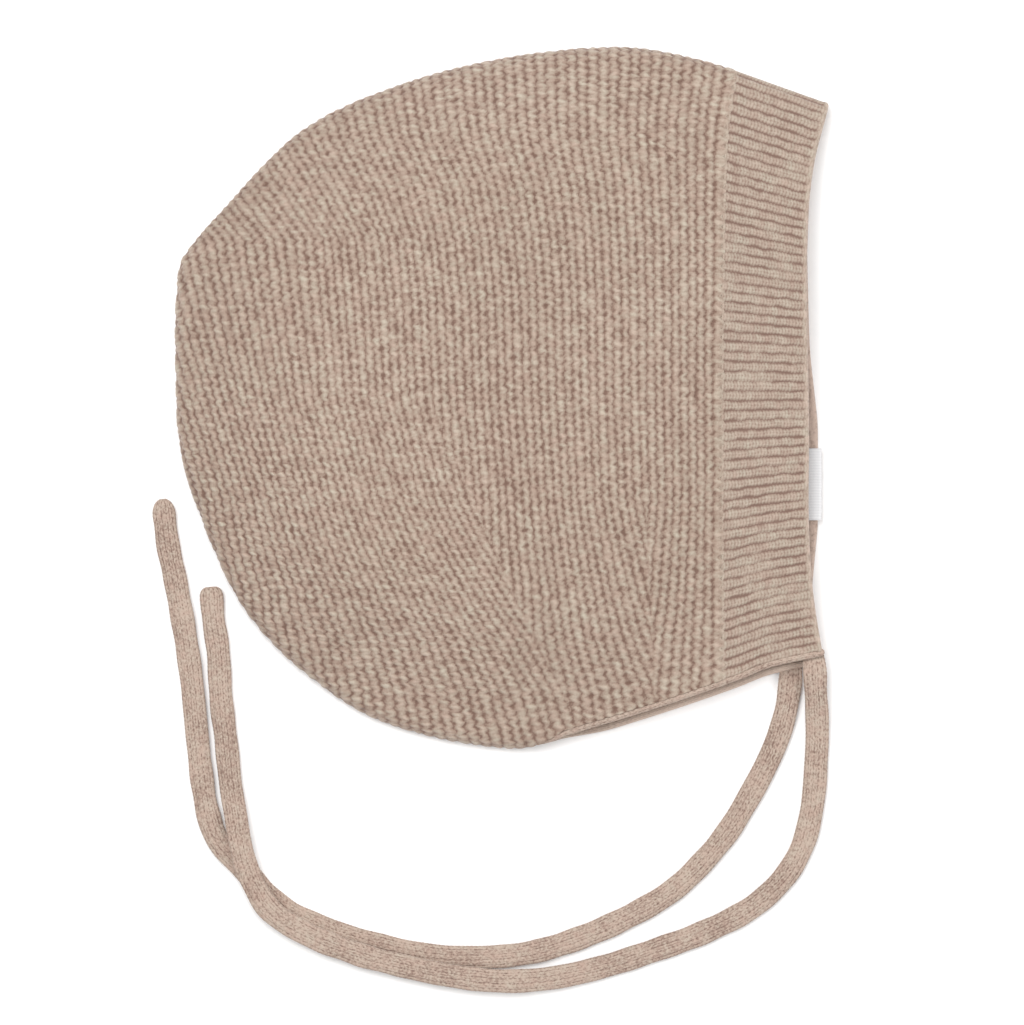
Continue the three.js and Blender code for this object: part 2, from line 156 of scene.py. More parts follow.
# Middle lines of the ties in millimetres, from the chin corner to the free end
LOWER_TIE_ROUTE = (
    (72.6, -67.2, 1.4), (72.2, -72.5, 1.4), (71.2, -78.5, 1.4), (69.1, -85.5, 1.4), (65.7, -93.1, 1.4),
    (61.6, -100.6, 1.4), (57, -108.1, 1.4), (50.9, -115.6, 1.4), (43, -123.1, 1.4), (32.3, -129.5, 1.4),
    (19.8, -135, 1.4), (7.3, -138.7, 1.4), (-5.3, -139.9, 1.4), (-17.8, -139.4, 1.4), (-30.3, -136.9, 1.4),
    (-42.8, -133.1, 1.4), (-55.3, -127, 1.4), (-64.1, -118, 1.4), (-70.8, -110.6, 1.4), (-73.2, -104.3, 1.4),
    (-74.6, -96.8, 1.4), (-75.9, -85.5, 1.4), (-77.4, -70.5, 1.4), (-79, -59.3, 1.4), (-81.7, -44.3, 1.4),
    (-83.3, -36.8, 1.4), (-84.7, -25.2, 1.4),
)
UPPER_TIE_ROUTE = (
    (77.9, -64.4, 5.4), (78.3, -67.4, 5.8), (78.6, -73, 4.9), (79, -79, 3), (79.1, -85.3, 1.7),
    (78.8, -91.5, 1.4), (78.5, -96.8, 1.4), (77.5, -104.3, 1.4), (75.5, -111.8, 1.4), (71.3, -119.3, 1.4),
    (63.3, -127, 1.4), (51, -133.5, 1.4), (38.5, -138.1, 1.4), (26, -142.1, 1.5), (13.5, -144.9, 2.3),
    (1, -145.7, 4), (-11.5, -144.5, 4.3), (-24, -142, 4.3), (-36.5, -138.7, 4.3), (-49, -133.7, 4.3),
    (-57.8, -127.8, 4.4), (-63, -118.8, 4.4), (-65.2, -110.8, 4.3), (-66.3, -104.4, 3.4), (-67.6, -96.8, 1.9),
    (-68.8, -85.5, 1.4), (-70, -75.5, 1.4), (-70.8, -63, 1.4), (-71.9, -55.5, 1.4), (-72.6, -47.2, 1.4),
)

# Lengths of the ties from the chin corner to the free end
UPPER_TIE_LENGTH = 280 * MM
LOWER_TIE_LENGTH = 279 * MM


def smoothstep(value: np.ndarray, low: float, high: float) -> np.ndarray:
    """A soft step from 0 at low to 1 at high."""
    t = np.clip((value - low) / (high - low), 0, 1)
    return t * t * (3 - 2 * t)


def lerp(low: np.ndarray, high: np.ndarray, share: np.ndarray) -> np.ndarray:
    """The value a share of the way from low to high."""
    return low + (high - low) * share


def curve(
    t: np.ndarray, low: np.ndarray, high: np.ndarray, slope_low: np.ndarray, slope_high: np.ndarray,
) -> np.ndarray:
    """A cubic curve between two values with given slopes.

    Args:
        t: shares of the way from low to high.
        low: the value at share 0.
        high: the value at share 1.
        slope_low: the slope at share 0.
        slope_high: the slope at share 1.

    Returns:
        The values at the shares.
    """
    t2, t3 = t * t, t * t * t
    ends = (2 * t3 - 3 * t2 + 1) * low + (3 * t2 - 2 * t3) * high
    return ends + (t3 - 2 * t2 + t) * slope_low + (t3 - t2) * slope_high


@dataclass(frozen=True)
class Table:
    """A smooth curve through a few rows of keys and values.

    Args:
        keys: rising keys, one for each row.
        values: the value at each key.
    """

    keys: np.ndarray
    values: np.ndarray

    @classmethod
    def upwards(cls, rows: tuple[Along, ...]) -> "Table":
        """A table that gives the share along for a share up, from rows that go down."""
        rising = rows[::-1]
        return cls(np.array([row.up for row in rising]), np.array([row.along for row in rising]))

    @classmethod
    def forwards(cls, rows: tuple[Along, ...]) -> "Table":
        """A table that gives the share up for a share along."""
        return cls(np.array([row.along for row in rows]), np.array([row.up for row in rows]))

    def at(self, key: np.ndarray) -> np.ndarray:
        """The curve's values.

        Args:
            key: one key or many.

        Returns:
            The value at each key.
        """
        keys, values = self.keys, self.values
        key = np.asarray(key, float)
        low = np.clip(np.searchsorted(keys, key, side="right") - 1, 0, len(keys) - 2)
        high = low + 1
        before, after = np.maximum(low - 1, 0), np.minimum(high + 1, len(keys) - 1)
        span = keys[high] - keys[low]
        slope_low = (values[high] - values[before]) / (keys[high] - keys[before]) * span
        slope_high = (values[after] - values[low]) / (keys[after] - keys[low]) * span
        return curve((key - keys[low]) / span, values[low], values[high], slope_low, slope_high)

    def straight(self, key: np.ndarray) -> np.ndarray:
        """The value at a key, with straight lines between the rows."""
        return np.interp(key, self.keys, self.values)


def smooth_line(points: np.ndarray, steps: int) -> np.ndarray:
    """A smooth line through points, with the same number of steps between each two.

    Args:
        points: the points, one a row.
        steps: steps between two points.

    Returns:
        The line's points, one a row.
    """
    ends = (2 * points[0] - points[1], 2 * points[-1] - points[-2])
    run = np.vstack((ends[0], points, ends[1]))
    gaps = np.sqrt(np.linalg.norm(np.diff(run, axis=0), axis=1))[:, None]
    line = []
    for i in range(1, len(run) - 2):
        a, b, c, d = run[i - 1:i + 3]
        ab, bc, cd = gaps[i - 1], gaps[i], gaps[i + 1]
        slope_b = ((b - a) / ab - (c - a) / (ab + bc) + (c - b) / bc) * bc
        slope_c = ((c - b) / bc - (d - b) / (bc + cd) + (d - c) / cd) * bc
        line += [curve(step / steps, b, c, slope_b, slope_c) for step in range(steps)]
    line.append(points[-1])
    return np.array(line)


def line_at(points: np.ndarray, shares: np.ndarray) -> np.ndarray:
    """Points at shares of a line's length.

    Args:
        points: the line's points, one a row.
        shares: rising shares of its length.

    Returns:
        The points at the shares, one a row.
    """
    run = np.concatenate(([0], np.cumsum(np.linalg.norm(np.diff(points, axis=0), axis=1))))
    return np.stack([np.interp(shares * run[-1], run, axis) for axis in points.T], axis=1)


def even_line(points: np.ndarray, count: int) -> np.ndarray:
    """The same line with a number of points at even distances."""
    return line_at(points, np.linspace(0, 1, count))


def between(
    low: np.ndarray, high: np.ndarray, left: np.ndarray, right: np.ndarray,
    across: np.ndarray, up: np.ndarray,
) -> np.ndarray:
    """A sheet between four sides that meet at their ends.

    Args:
        low: the lower side's line, from left to right.
        high: the upper side's line, likewise.
        left: the left side's line, from the bottom up.
        right: the right side's line, likewise.
        across: each column's share of the way from left to right.
        up: each row's share of the way from the bottom up.

    Returns:
        The sheet's points, by row and column.
    """
    low, high = line_at(low, across), line_at(high, across)
    left, right = line_at(left, up), line_at(right, up)
    u, v = across[None, :, None], up[:, None, None]
    from_sides = (1 - u) * left[:, None] + u * right[:, None]
    from_ends = (1 - v) * low[None] + v * high[None]
    corners = (1 - v) * ((1 - u) * low[0] + u * low[-1]) + v * ((1 - u) * high[0] + u * high[-1])
    return from_sides + from_ends - corners


WAVES = 7


def wander(x: np.ndarray, y: np.ndarray, seed: int) -> np.ndarray:
    """Smooth unevenness with waves near one unit long, the same on each run.

    Args:
        x: places one way.
        y: places the other way.
        seed: what the waves' directions and starts are drawn from.

    Returns:
        Values between about -1 and 1.
    """
    chance = np.random.default_rng(seed)
    total = np.zeros(np.broadcast(x, y).shape)
    for _ in range(WAVES):
        angle, start = chance.uniform(0, 2 * math.pi, 2)
        pace = chance.uniform(0.6, 1.5) * 2 * math.pi
        total += np.sin(pace * (math.cos(angle) * x + math.sin(angle) * y) + start)
    return total / 4


class Form:
    """The bonnet's outer form: the folded edge, the face and neck edges and the height of both layers."""

    FOLD_STEPS = 12
    EDGE_STEPS = 80
    SLOPE_STEP = 0.5 * MM
    HEM_STARTS = -4 * MM
    HEM_FULL = 8 * MM
    FAR_OFF = 1.0

    def __init__(self) -> None:
        """Reads the tables."""
        places = np.array([(row.along * BONNET_LENGTH, row.up * BONNET_HEIGHT) for row in FOLD_LINE])
        self.fold = smooth_line(places, self.FOLD_STEPS)
        self.seam_table = Table.upwards(SEAM)
        edges = {Side.UPPER: UPPER_FACE_EDGE, Side.LOWER: LOWER_FACE_EDGE}
        self.face_tables = {side: Table.upwards(rows) for side, rows in edges.items()}
        self.neck_table = Table.forwards(NECK_EDGE)

    def seam(self, y: np.ndarray) -> np.ndarray:
        """The seam's place along the bonnet at a height."""
        return self.seam_table.at(np.asarray(y) / BONNET_HEIGHT) * BONNET_LENGTH

    def face(self, y: np.ndarray, side: Side) -> np.ndarray:
        """The face edge's place along the bonnet at a height."""
        return self.face_tables[side].at(np.asarray(y) / BONNET_HEIGHT) * BONNET_LENGTH

    def neck(self, x: np.ndarray, side: Side) -> np.ndarray:
        """The height of a layer's neck edge.

        Args:
            x: places along the bonnet.
            side: the layer.

        Returns:
            The heights up the bonnet.
        """
        upper = self.neck_table.at(np.asarray(x) / BONNET_LENGTH) * BONNET_HEIGHT
        if side is Side.UPPER:
            return upper
        return upper - LOWER_PEEK * smoothstep(np.asarray(x), NAPE_X, NAPE_X + LOFT_RUN / 2)

    def neck_line(self, x: np.ndarray, side: Side, inset: float) -> np.ndarray:
        """The neck edge moved a distance into the bonnet, at right angles to itself."""
        rise = self.neck(x + self.SLOPE_STEP, side) - self.neck(x - self.SLOPE_STEP, side)
        return self.neck(x, side) + inset * np.hypot(1, rise / (2 * self.SLOPE_STEP))

    def hem(self, x: np.ndarray) -> np.ndarray:
        """How far inside the neck edge the crown ends, from nothing behind the nape to under the roll."""
        return CROWN_INSET * smoothstep(np.asarray(x), NAPE_X + self.HEM_STARTS, NAPE_X + self.HEM_FULL)

    def sides(self, side: Side, wall: float) -> tuple[np.ndarray, np.ndarray, np.ndarray, np.ndarray]:
        """The crown's four sides on the plan.

        Args:
            side: the layer.
            wall: how far inside the folded edge.

        Returns:
            The lower side along the neck and the upper side along the fold, both from the back to the seam,
            then the back of the head and the seam, both from the bottom up.
        """
        ahead = np.gradient(self.fold, axis=0)
        ahead /= np.linalg.norm(ahead, axis=1, keepdims=True)
        fold = self.fold + np.stack((-ahead[:, 1], ahead[:, 0]), axis=1) * wall
        start, high, low = (i * self.FOLD_STEPS for i in (FOLD_LINE.index(SEAM[0]), BACK_TOP, BACK_BOTTOM))
        seam_low = SEAM[-1].up * BONNET_HEIGHT
        for _ in range(2):
            seam_x = self.seam(seam_low)
            seam_low = float(self.neck_line(seam_x, side, self.hem(seam_x)))
        start_x = NECK_EDGE[0].along * BONNET_LENGTH
        under = (fold[:, 0] > start_x) & (np.arange(len(fold)) > low)
        under &= fold[:, 1] < self.neck_line(np.maximum(fold[:, 0], start_x), side, self.hem(fold[:, 0]))
        last = int(np.argmax(under))
        x = np.linspace(fold[last, 0], float(self.seam(seam_low)), self.EDGE_STEPS)
        neck = np.stack((x, self.neck_line(x, side, self.hem(x))), axis=1)
        seam_y = np.linspace(seam_low, fold[start, 1], self.EDGE_STEPS)
        seam = np.stack((self.seam(seam_y), seam_y), axis=1)
        seam[0], seam[-1] = neck[-1], fold[start]
        return np.vstack((fold[low:last], neck)), fold[start:high + 1][::-1], fold[high:low + 1][::-1], seam

    def distance(self, x: np.ndarray, y: np.ndarray) -> np.ndarray:
        """The distance on the plan from places to the folded edge.

        Args:
            x: places along the bonnet.
            y: places up the bonnet.

        Returns:
            The distances.
        """
        nearest = np.full(np.shape(x), self.FAR_OFF)
        for (x0, y0), (x1, y1) in zip(self.fold[:-1], self.fold[1:]):
            along_x, along_y = x1 - x0, y1 - y0
            t = ((x - x0) * along_x + (y - y0) * along_y) / (along_x * along_x + along_y * along_y)
            t = np.clip(t, 0, 1)
            nearest = np.minimum(nearest, np.hypot(x - x0 - t * along_x, y - y0 - t * along_y))
        return nearest

    def loft(self, x: np.ndarray, y: np.ndarray, distance: np.ndarray) -> np.ndarray:
        """How far the upper layer swells above the folded edge's thickness.

        Args:
            x: places along the bonnet.
            y: places up the bonnet.
            distance: the distance of each to the folded edge.

        Returns:
            The swell at each place.
        """
        dents = CROWN_LOFT * sum(dent.depth(x, y) for dent in (*CROWN_DENTS, CHIN_DENT))
        rise = np.sin(np.minimum(distance / LOFT_RUN, 1) * math.pi / 2)
        from_face = self.face(y, Side.UPPER) - x
        from_neck = y - self.neck(x, Side.UPPER)
        at_face = lerp(FACE_LOFT, CROWN_LOFT, smoothstep(from_face, 0, OPENING_RUN))
        at_neck = lerp(NECK_LOFT / CROWN_LOFT, 1, smoothstep(from_neck, 0, OPENING_RUN))
        return rise * np.maximum(at_face * at_neck - dents, 0)

    def height(self, x: np.ndarray, y: np.ndarray, side: Side, wall: float = 0) -> np.ndarray:
        """The height of a layer's surface above the table.

        Args:
            x: places along the bonnet.
            y: places up the bonnet.
            side: the layer.
            wall: 0 for the outer surface, or how far inside it the surface lies.

        Returns:
            The heights.
        """
        distance = self.distance(x, y)
        radius = FOLD_RADIUS - wall
        left = radius - np.clip(distance - wall, 0, radius)
        rise = np.sqrt(np.maximum(radius * radius - left * left, 0))
        if side is Side.LOWER:
            return FOLD_RADIUS - rise
        swell = self.loft(x, y, distance)
        if wall:
            swell = swell * smoothstep(distance - wall, 0, wall)
        return FOLD_RADIUS + rise + swell


def grid_piece(name: str, places: np.ndarray, coordinates: np.ndarray, merge: float = 0) -> bpy.types.Object:
    """A sheet of four-sided faces, moved into shape.

    Args:
        name: the piece's name.
        places: the corners' places, by row and column. Faces point up where columns go to +X and rows to +Y.
        coordinates: the corners' pattern coordinates, by row and column.
        merge: corners nearer than this are joined, and open ends are closed.

    Returns:
        The new object.
    """
    rows, columns = places.shape[:2]
    mesh = bpy.data.meshes.new(name)
    sheet = bmesh.new()
    bmesh.ops.create_grid(sheet, x_segments=columns - 1, y_segments=rows - 1, size=0.5, calc_uvs=False)
    sheet.loops.layers.uv.new("pattern")
    sheet.to_mesh(mesh)
    sheet.free()
    flat = np.empty(len(mesh.vertices) * 3, np.float32)
    mesh.vertices.foreach_get("co", flat)
    flat = flat.reshape(-1, 3)
    column = np.rint((flat[:, 0] + 0.5) * (columns - 1)).astype(int)
    row = np.rint((flat[:, 1] + 0.5) * (rows - 1)).astype(int)
    mesh.vertices.foreach_set("co", places[row, column].astype(np.float32).ravel())
    corner = np.empty(len(mesh.loops), np.int32)
    mesh.loops.foreach_get("vertex_index", corner)
    pattern = coordinates[row[corner], column[corner]].astype(np.float32)
    mesh.uv_layers["pattern"].data.foreach_set("uv", pattern.ravel())
    if merge:
        close_mesh(mesh, merge)
    return finished(name, mesh)


def close_mesh(mesh: bpy.types.Mesh, merge: float) -> None:
    """Joins corners that meet and closes the open ends, with the faces pointing out.

    Args:
        mesh: the mesh, which is changed.
        merge: corners nearer than this are joined.
    """
    shell = bmesh.new()
    shell.from_mesh(mesh)
    bmesh.ops.remove_doubles(shell, verts=shell.verts, dist=merge)
    rim = [edge for edge in shell.edges if edge.is_boundary]
    if rim:
        bmesh.ops.holes_fill(shell, edges=rim, sides=0)
    bmesh.ops.recalc_face_normals(shell, faces=shell.faces)
    shell.to_mesh(mesh)
    shell.free()


def finished(name: str, mesh: bpy.types.Mesh) -> bpy.types.Object:
    """Shades a mesh smooth and puts it in the scene as a piece on the bonnet's one body.

    Args:
        name: the piece's name.
        mesh: its mesh.

    Returns:
        The new object.
    """
    mesh.shade_smooth()
    piece = bpy.data.objects.new(name, mesh)
    bpy.context.scene.collection.objects.link(piece)
    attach(piece, "root")
    log.info("%s: %d faces", name, len(mesh.polygons))
    return piece


NO_LENGTH = 1e-12


def normals_of(places: np.ndarray) -> np.ndarray:
    """Directions out of a sheet whose columns go to +X and whose rows go to +Y.

    Args:
        places: the corners' places, by row and column.

    Returns:
        A direction of length 1 for each corner, straight up where the sheet has no width.
    """
    out = np.cross(np.gradient(places, axis=1), np.gradient(places, axis=0))
    length = np.linalg.norm(out, axis=2, keepdims=True)
    return np.where(length < NO_LENGTH, np.array([0, 0, 1.0]), out / np.maximum(length, NO_LENGTH))


class Value:
    """A socket of a material's nodes that can be used in sums."""

    def __init__(self, nodes: "Nodes", socket: bpy.types.NodeSocket) -> None:
        """Keeps the socket and the nodes that it belongs to."""
        self.nodes = nodes
        self.socket = socket

    def math(self, operation: str, *others: "Value | float") -> "Value":
        """The result of one Math node on this value and others."""
        inputs = dict(enumerate((self, *others)))
        return self.nodes.add("ShaderNodeMath", {"operation": operation}, inputs)["Value"]

    def __add__(self, other: "Value | float") -> "Value":
        """Sum."""
        return self.math("ADD", other)

    def __radd__(self, other: float) -> "Value":
        """Sum."""
        return self.math("ADD", other)

    def __sub__(self, other: "Value | float") -> "Value":
        """Difference."""
        return self.math("SUBTRACT", other)

    def __rsub__(self, other: float) -> "Value":
        """Difference from a number."""
        return self.math("MULTIPLY_ADD", -1.0, other)

    def __mul__(self, other: "Value | float") -> "Value":
        """Product."""
        return self.math("MULTIPLY", other)

    def __rmul__(self, other: float) -> "Value":
        """Product."""
        return self.math("MULTIPLY", other)

    def __pow__(self, power: float) -> "Value":
        """Power of a value that isn't below 0."""
        return self.math("POWER", power)

    def clamp(self) -> "Value":
        """The value held between 0 and 1."""
        held = self.math("MULTIPLY", 1.0)
        held.socket.node.use_clamp = True
        return held

    def sine(self) -> "Value":
        """Sine, in radians."""
        return self.math("SINE")

    def floor(self) -> "Value":
        """The whole number below."""
        return self.math("FLOOR")

    def size(self) -> "Value":
        """The value without its sign."""
        return self.math("ABSOLUTE")


class Made(NamedTuple):
    """A node that was added, whose outputs are read by name."""

    nodes: "Nodes"
    node: bpy.types.Node

    def __getitem__(self, output: str) -> Value:
        """The output with a name."""
        return Value(self.nodes, self.node.outputs[output])


# A Mix node has sockets of the same names for each kind of data, so those for colours go by number
MIX_SHARE, MIX_LOW, MIX_HIGH, MIX_RESULT = 0, 6, 7, 2


class Nodes:
    """The nodes of one material, with its surface shader."""

    def __init__(self, name: str) -> None:
        """Makes an empty material.

        Args:
            name: the material's name.
        """
        self.material = bpy.data.materials.new(name)
        self.material.use_nodes = True
        self.tree = self.material.node_tree
        self.tree.nodes.clear()

    def add(self, kind: str, settings: dict | None = None, inputs: dict | None = None) -> Made:
        """Adds a node.

        Args:
            kind: the node's type.
            settings: its settings, which are set first.
            inputs: values or links, by the socket's name or number.

        Returns:
            The node, whose outputs are read by name.
        """
        node = self.tree.nodes.new(kind)
        for key, setting in (settings or {}).items():
            setattr(node, key, setting)
        for key, value in (inputs or {}).items():
            socket = node.inputs[key]
            if isinstance(value, Value):
                self.tree.links.new(value.socket, socket)
            else:
                socket.default_value = value
        return Made(self, node)

    def mix(self, share: Value | float, low: Value | tuple, high: Value | tuple, blend: str = "MIX") -> Value:
        """A colour between two.

        Args:
            share: how far it is from the first colour to the second.
            low: the first colour.
            high: the second colour.
            blend: the kind of blend.

        Returns:
            The colour.
        """
        settings = {"data_type": "RGBA", "blend_type": blend, "clamp_factor": True}
        made = self.add("ShaderNodeMix", settings, {MIX_SHARE: share, MIX_LOW: low, MIX_HIGH: high})
        return Value(self, made.node.outputs[MIX_RESULT])

    def noise(self, vector: Value, scale: float, detail: float = 2.0, rough: float = 0.5) -> Value:
        """Noise near 0.5 at a scale."""
        inputs = {"Vector": vector, "Scale": scale, "Detail": detail, "Roughness": rough}
        return self.add("ShaderNodeTexNoise", {}, inputs)["Fac"]

    def object_place(self) -> Value:
        """The place on the piece, in metres."""
        return self.add("ShaderNodeTexCoord")["Object"]

    def surface(self, **inputs: "Value | float | tuple") -> bpy.types.Material:
        """Ends the material with its surface shader.

        Args:
            inputs: values or links, by the sockets' names in words joined by underscores.

        Returns:
            The finished material.
        """
        named = {key.replace("_", " "): value for key, value in inputs.items()}
        shader = self.add("ShaderNodeBsdfPrincipled", {}, named)
        output = self.add("ShaderNodeOutputMaterial")
        self.tree.links.new(shader.node.outputs["BSDF"], output.node.inputs["Surface"])
        return self.material


Colour = tuple[float, float, float, float]

# How much brighter than its own colour a white surface looks under the scene's light
SCENE_LIGHT = 1.24


def colour(red: int, green: int, blue: int) -> Colour:
    """A surface colour from its look on a screen, 0 to 255, under the scene's light."""
    linear = [((c / 255 + 0.055) / 1.055) ** 2.4 for c in (red, green, blue)]
    return (*[c / SCENE_LIGHT for c in linear], 1.0)


def uneven(noise: Value, strength: float) -> Value:
    """Noise turned into unevenness to both sides of 0."""
    return (noise - 0.5) * strength


@dataclass(frozen=True)
class YarnColours:
    """The colours of a heather yarn: the two tints of its strands, and the darker colours between and below
    them, which are partly painted shade in the knit's grooves and gaps.
    """

    greenish: Colour
    pinkish: Colour
    valley: Colour
    notch: Colour


class KnitNodes(Nodes):
    """The nodes of a knit's finish: its pattern coordinates, its noises and its woolly surface."""

    PATCH_SCALE = 640.0
    HAIR_SCALE = 5200.0
    BUMP_STRENGTH = 0.5
    ROUGHNESS = 0.95
    # The pale halo of loose fibres at the edges
    FUZZ = {"Sheen_Weight": 0.4, "Sheen_Roughness": 0.4, "Sheen_Tint": (1.0, 0.9, 0.83, 1.0)}

    def __init__(self, name: str, fibre_scale: float) -> None:
        """Adds the pattern coordinates and the noises that all knits read.

        Args:
            name: the material's name.
            fibre_scale: the scale of the noise for its fibres.
        """
        super().__init__(name)
        pattern = self.add("ShaderNodeUVMap", {"uv_map": "pattern"})["UV"]
        split = self.add("ShaderNodeSeparateXYZ", {}, {"Vector": pattern})
        self.first, self.second = split["X"], split["Y"]
        self.place = self.object_place()
        self.fibre = self.noise(self.place, fibre_scale, 3.0, 0.6)
        self.patch = self.noise(self.place, self.PATCH_SCALE)
        self.hair = self.noise(self.place, self.HAIR_SCALE, 4.0, 0.7)

    def strand(self, tint: Value, colours: YarnColours) -> Value:
        """A strand's colour, by how far it is from the yarn's one tint to the other."""
        return self.mix(tint.clamp(), colours.greenish, colours.pinkish)

    def wool(self, tone: Value, height: Value, deep: float) -> bpy.types.Material:
        """Ends the material as wool.

        Args:
            tone: its colour.
            height: the fine relief, from 0 to about 1.
            deep: how deep that relief is.

        Returns:
            The finished material.
        """
        inputs = {"Strength": self.BUMP_STRENGTH, "Distance": deep, "Height": height}
        bump = self.add("ShaderNodeBump", {}, inputs)["Normal"]
        return self.surface(Base_Color=tone, Roughness=self.ROUGHNESS, Normal=bump, **self.FUZZ)


@dataclass(frozen=True)
class GarterFinish:
    """Garter stitch, from two values a corner: how near a strand is, and the strand's tint.

    Args:
        name: the finish's name.
        colours: the yarn's colours.
        dulled: what the broad duller patches are multiplied by.
    """

    name: str
    colours: YarnColours
    dulled: Colour = (0.88, 0.87, 0.85, 1.0)

    def make(self) -> bpy.types.Material:
        """Builds the material.

        Returns:
            The finished material.
        """
        nodes = KnitNodes(self.name, 2300.0)
        light = nodes.first + uneven(nodes.fibre, 0.75) + uneven(nodes.patch, 0.65)
        drift = nodes.noise(nodes.place, 330.0)
        strand = nodes.strand(nodes.second * 0.6 + drift * 1.5 - 0.55, self.colours)
        shade = nodes.mix((light * 2.6).clamp(), self.colours.notch, self.colours.valley)
        tone = nodes.mix((light * 1.15 - 0.2).clamp(), shade, strand)
        broad = nodes.noise(nodes.place, 30.0)
        tone = nodes.mix(((broad - 0.35) * 1.3).clamp(), tone, self.dulled, "MULTIPLY")
        return nodes.wool(tone, light * 0.5 + nodes.fibre * 0.3 + nodes.hair * 0.25, 0.5 * MM)


@dataclass(frozen=True)
class PlainFinish:
    """Smooth knit: columns of small V stitches, from pattern coordinates of columns and stitches.

    Args:
        name: the finish's name.
        colours: the yarn's colours.
        line_depth: how dark the lines between the columns are.
        painted_light_from: the stitch from which the knit grows paler, as painted light on the lower layer's
            roll in the upper layer's shade.
        pale: the colour of that painted light, which the knit goes halfway to.
    """

    name: str
    colours: YarnColours
    line_depth: float = 0.75
    painted_light_from: float = 1e6
    pale: Colour = (0.86, 0.68, 0.57, 1.0)

    def make(self) -> bpy.types.Material:
        """Builds the material.

        Returns:
            The finished material.
        """
        nodes = KnitNodes(self.name, 2600.0)
        column, stitch = nodes.first, nodes.second
        across = (column - column.floor() - 0.5).size() * 2.0
        leg = 1.0 - ((across - 0.5).size() * 2.0) ** 2.0
        stroke = ((stitch + across * 0.5) * math.pi).sine().size()
        groove = (across ** 6.0).clamp()
        dash = ((1.0 - leg) * 0.5 + groove * 0.25) * (1.2 - stroke * 0.6) * self.line_depth
        drawn_out = nodes.add("ShaderNodeCombineXYZ", {}, {"X": column * 3.4, "Y": stitch * 1.3})["Vector"]
        streak = nodes.noise(drawn_out, 1.0, 2.0, 0.6)
        broad = nodes.noise(nodes.place, 110.0)
        light = 0.8 - dash + uneven(streak, 3.4) + uneven(nodes.fibre, 0.9)
        light = (light + uneven(nodes.patch, 0.9) + uneven(broad, 1.1)).clamp()
        drift = nodes.noise(nodes.place, 420.0)
        strand = nodes.strand(drift * 2.0 - 0.5, self.colours)
        shade = nodes.mix(groove, self.colours.valley, self.colours.notch)
        # Painted light: the lower layer's roll, which lies in the upper layer's shade, turns halfway to a
        # pale colour.
        painted_light_share = ((stitch - self.painted_light_from) * 0.03).clamp() * 0.5
        tone = nodes.mix(painted_light_share, nodes.mix(light, shade, strand), self.pale)
        height = leg * 0.3 + stroke * 0.4 + nodes.fibre * 0.3 + nodes.hair * 0.2 - groove * 0.2
        return nodes.wool(tone, height, 0.4 * MM)


@dataclass(frozen=True)
class RibFinish:
    """One-and-one rib: light ribs of two slanted strands with a fine dotted line between, and shaded grooves.

    Args:
        name: the finish's name.
        colours: the yarn's colours.
        edge: the colour of the rolled edge, paler than the ribs: painted light on the rounded edge, which
            also lifts the lower layer's edge out of the upper layer's shade.
        width: how many stitches wide the band is, from the seam to the rolled edge.
    """

    name: str
    colours: YarnColours
    edge: Colour
    width: float

    def make(self) -> bpy.types.Material:
        """Builds the material.

        Returns:
            The finished material.
        """
        nodes = KnitNodes(self.name, 2300.0)
        stitch = nodes.second
        rib = nodes.first + uneven(nodes.noise(nodes.place, 420.0, 1.0), 0.16)
        row = rib.floor()
        across = (rib - row - 0.5).size() * 2.0
        inside = (stitch * 1.1 - 0.2).clamp() * ((self.width - stitch) * 0.9).clamp()
        depth = (nodes.noise(nodes.place, 150.0) * 1.7 - 0.05).clamp()
        groove = (across ** 2.4) * inside * depth
        centre = (1.0 - across * 2.8).clamp() * inside
        slanted = stitch + across * 0.4 + row * 0.37
        stroke = (slanted * math.pi).sine().size()
        dotted = centre * (1.0 - stroke * 0.55)
        light = 0.79 - groove * 1.2 - dotted * 0.5 + (stroke - 0.6) * 0.4
        light = (light + uneven(nodes.fibre, 1.2) + uneven(nodes.patch, 1.1)).clamp()
        cell = nodes.add("ShaderNodeCombineXYZ", {}, {"X": row, "Y": slanted.floor()})["Vector"]
        chance = nodes.add("ShaderNodeTexWhiteNoise", {"noise_dimensions": "2D"}, {"Vector": cell})["Value"]
        drift = nodes.noise(nodes.place, 300.0)
        strand = nodes.strand(chance * 0.4 + drift * 1.4 - 0.4, self.colours)
        tone = nodes.mix(light, nodes.mix(groove, self.colours.valley, self.colours.notch), strand)
        # Painted light: the rolled face edge, and the inner face next to it, go to the pale edge colour,
        # against the shade under the upper layer.
        edge = ((stitch - self.width + uneven(nodes.patch, 3.0)) * 0.6).clamp() * 0.9
        ragged = (0.95 + uneven(nodes.fibre, 1.8) + uneven(nodes.patch, 2.4)).clamp()
        tone = nodes.mix(edge, tone, nodes.mix(ragged, self.colours.valley, self.edge))
        height = (1.0 - groove) * 0.6 - centre * 0.2 + stroke * 0.25 + nodes.fibre * 0.35 + nodes.hair * 0.25
        return nodes.wool(tone, height, 0.5 * MM)


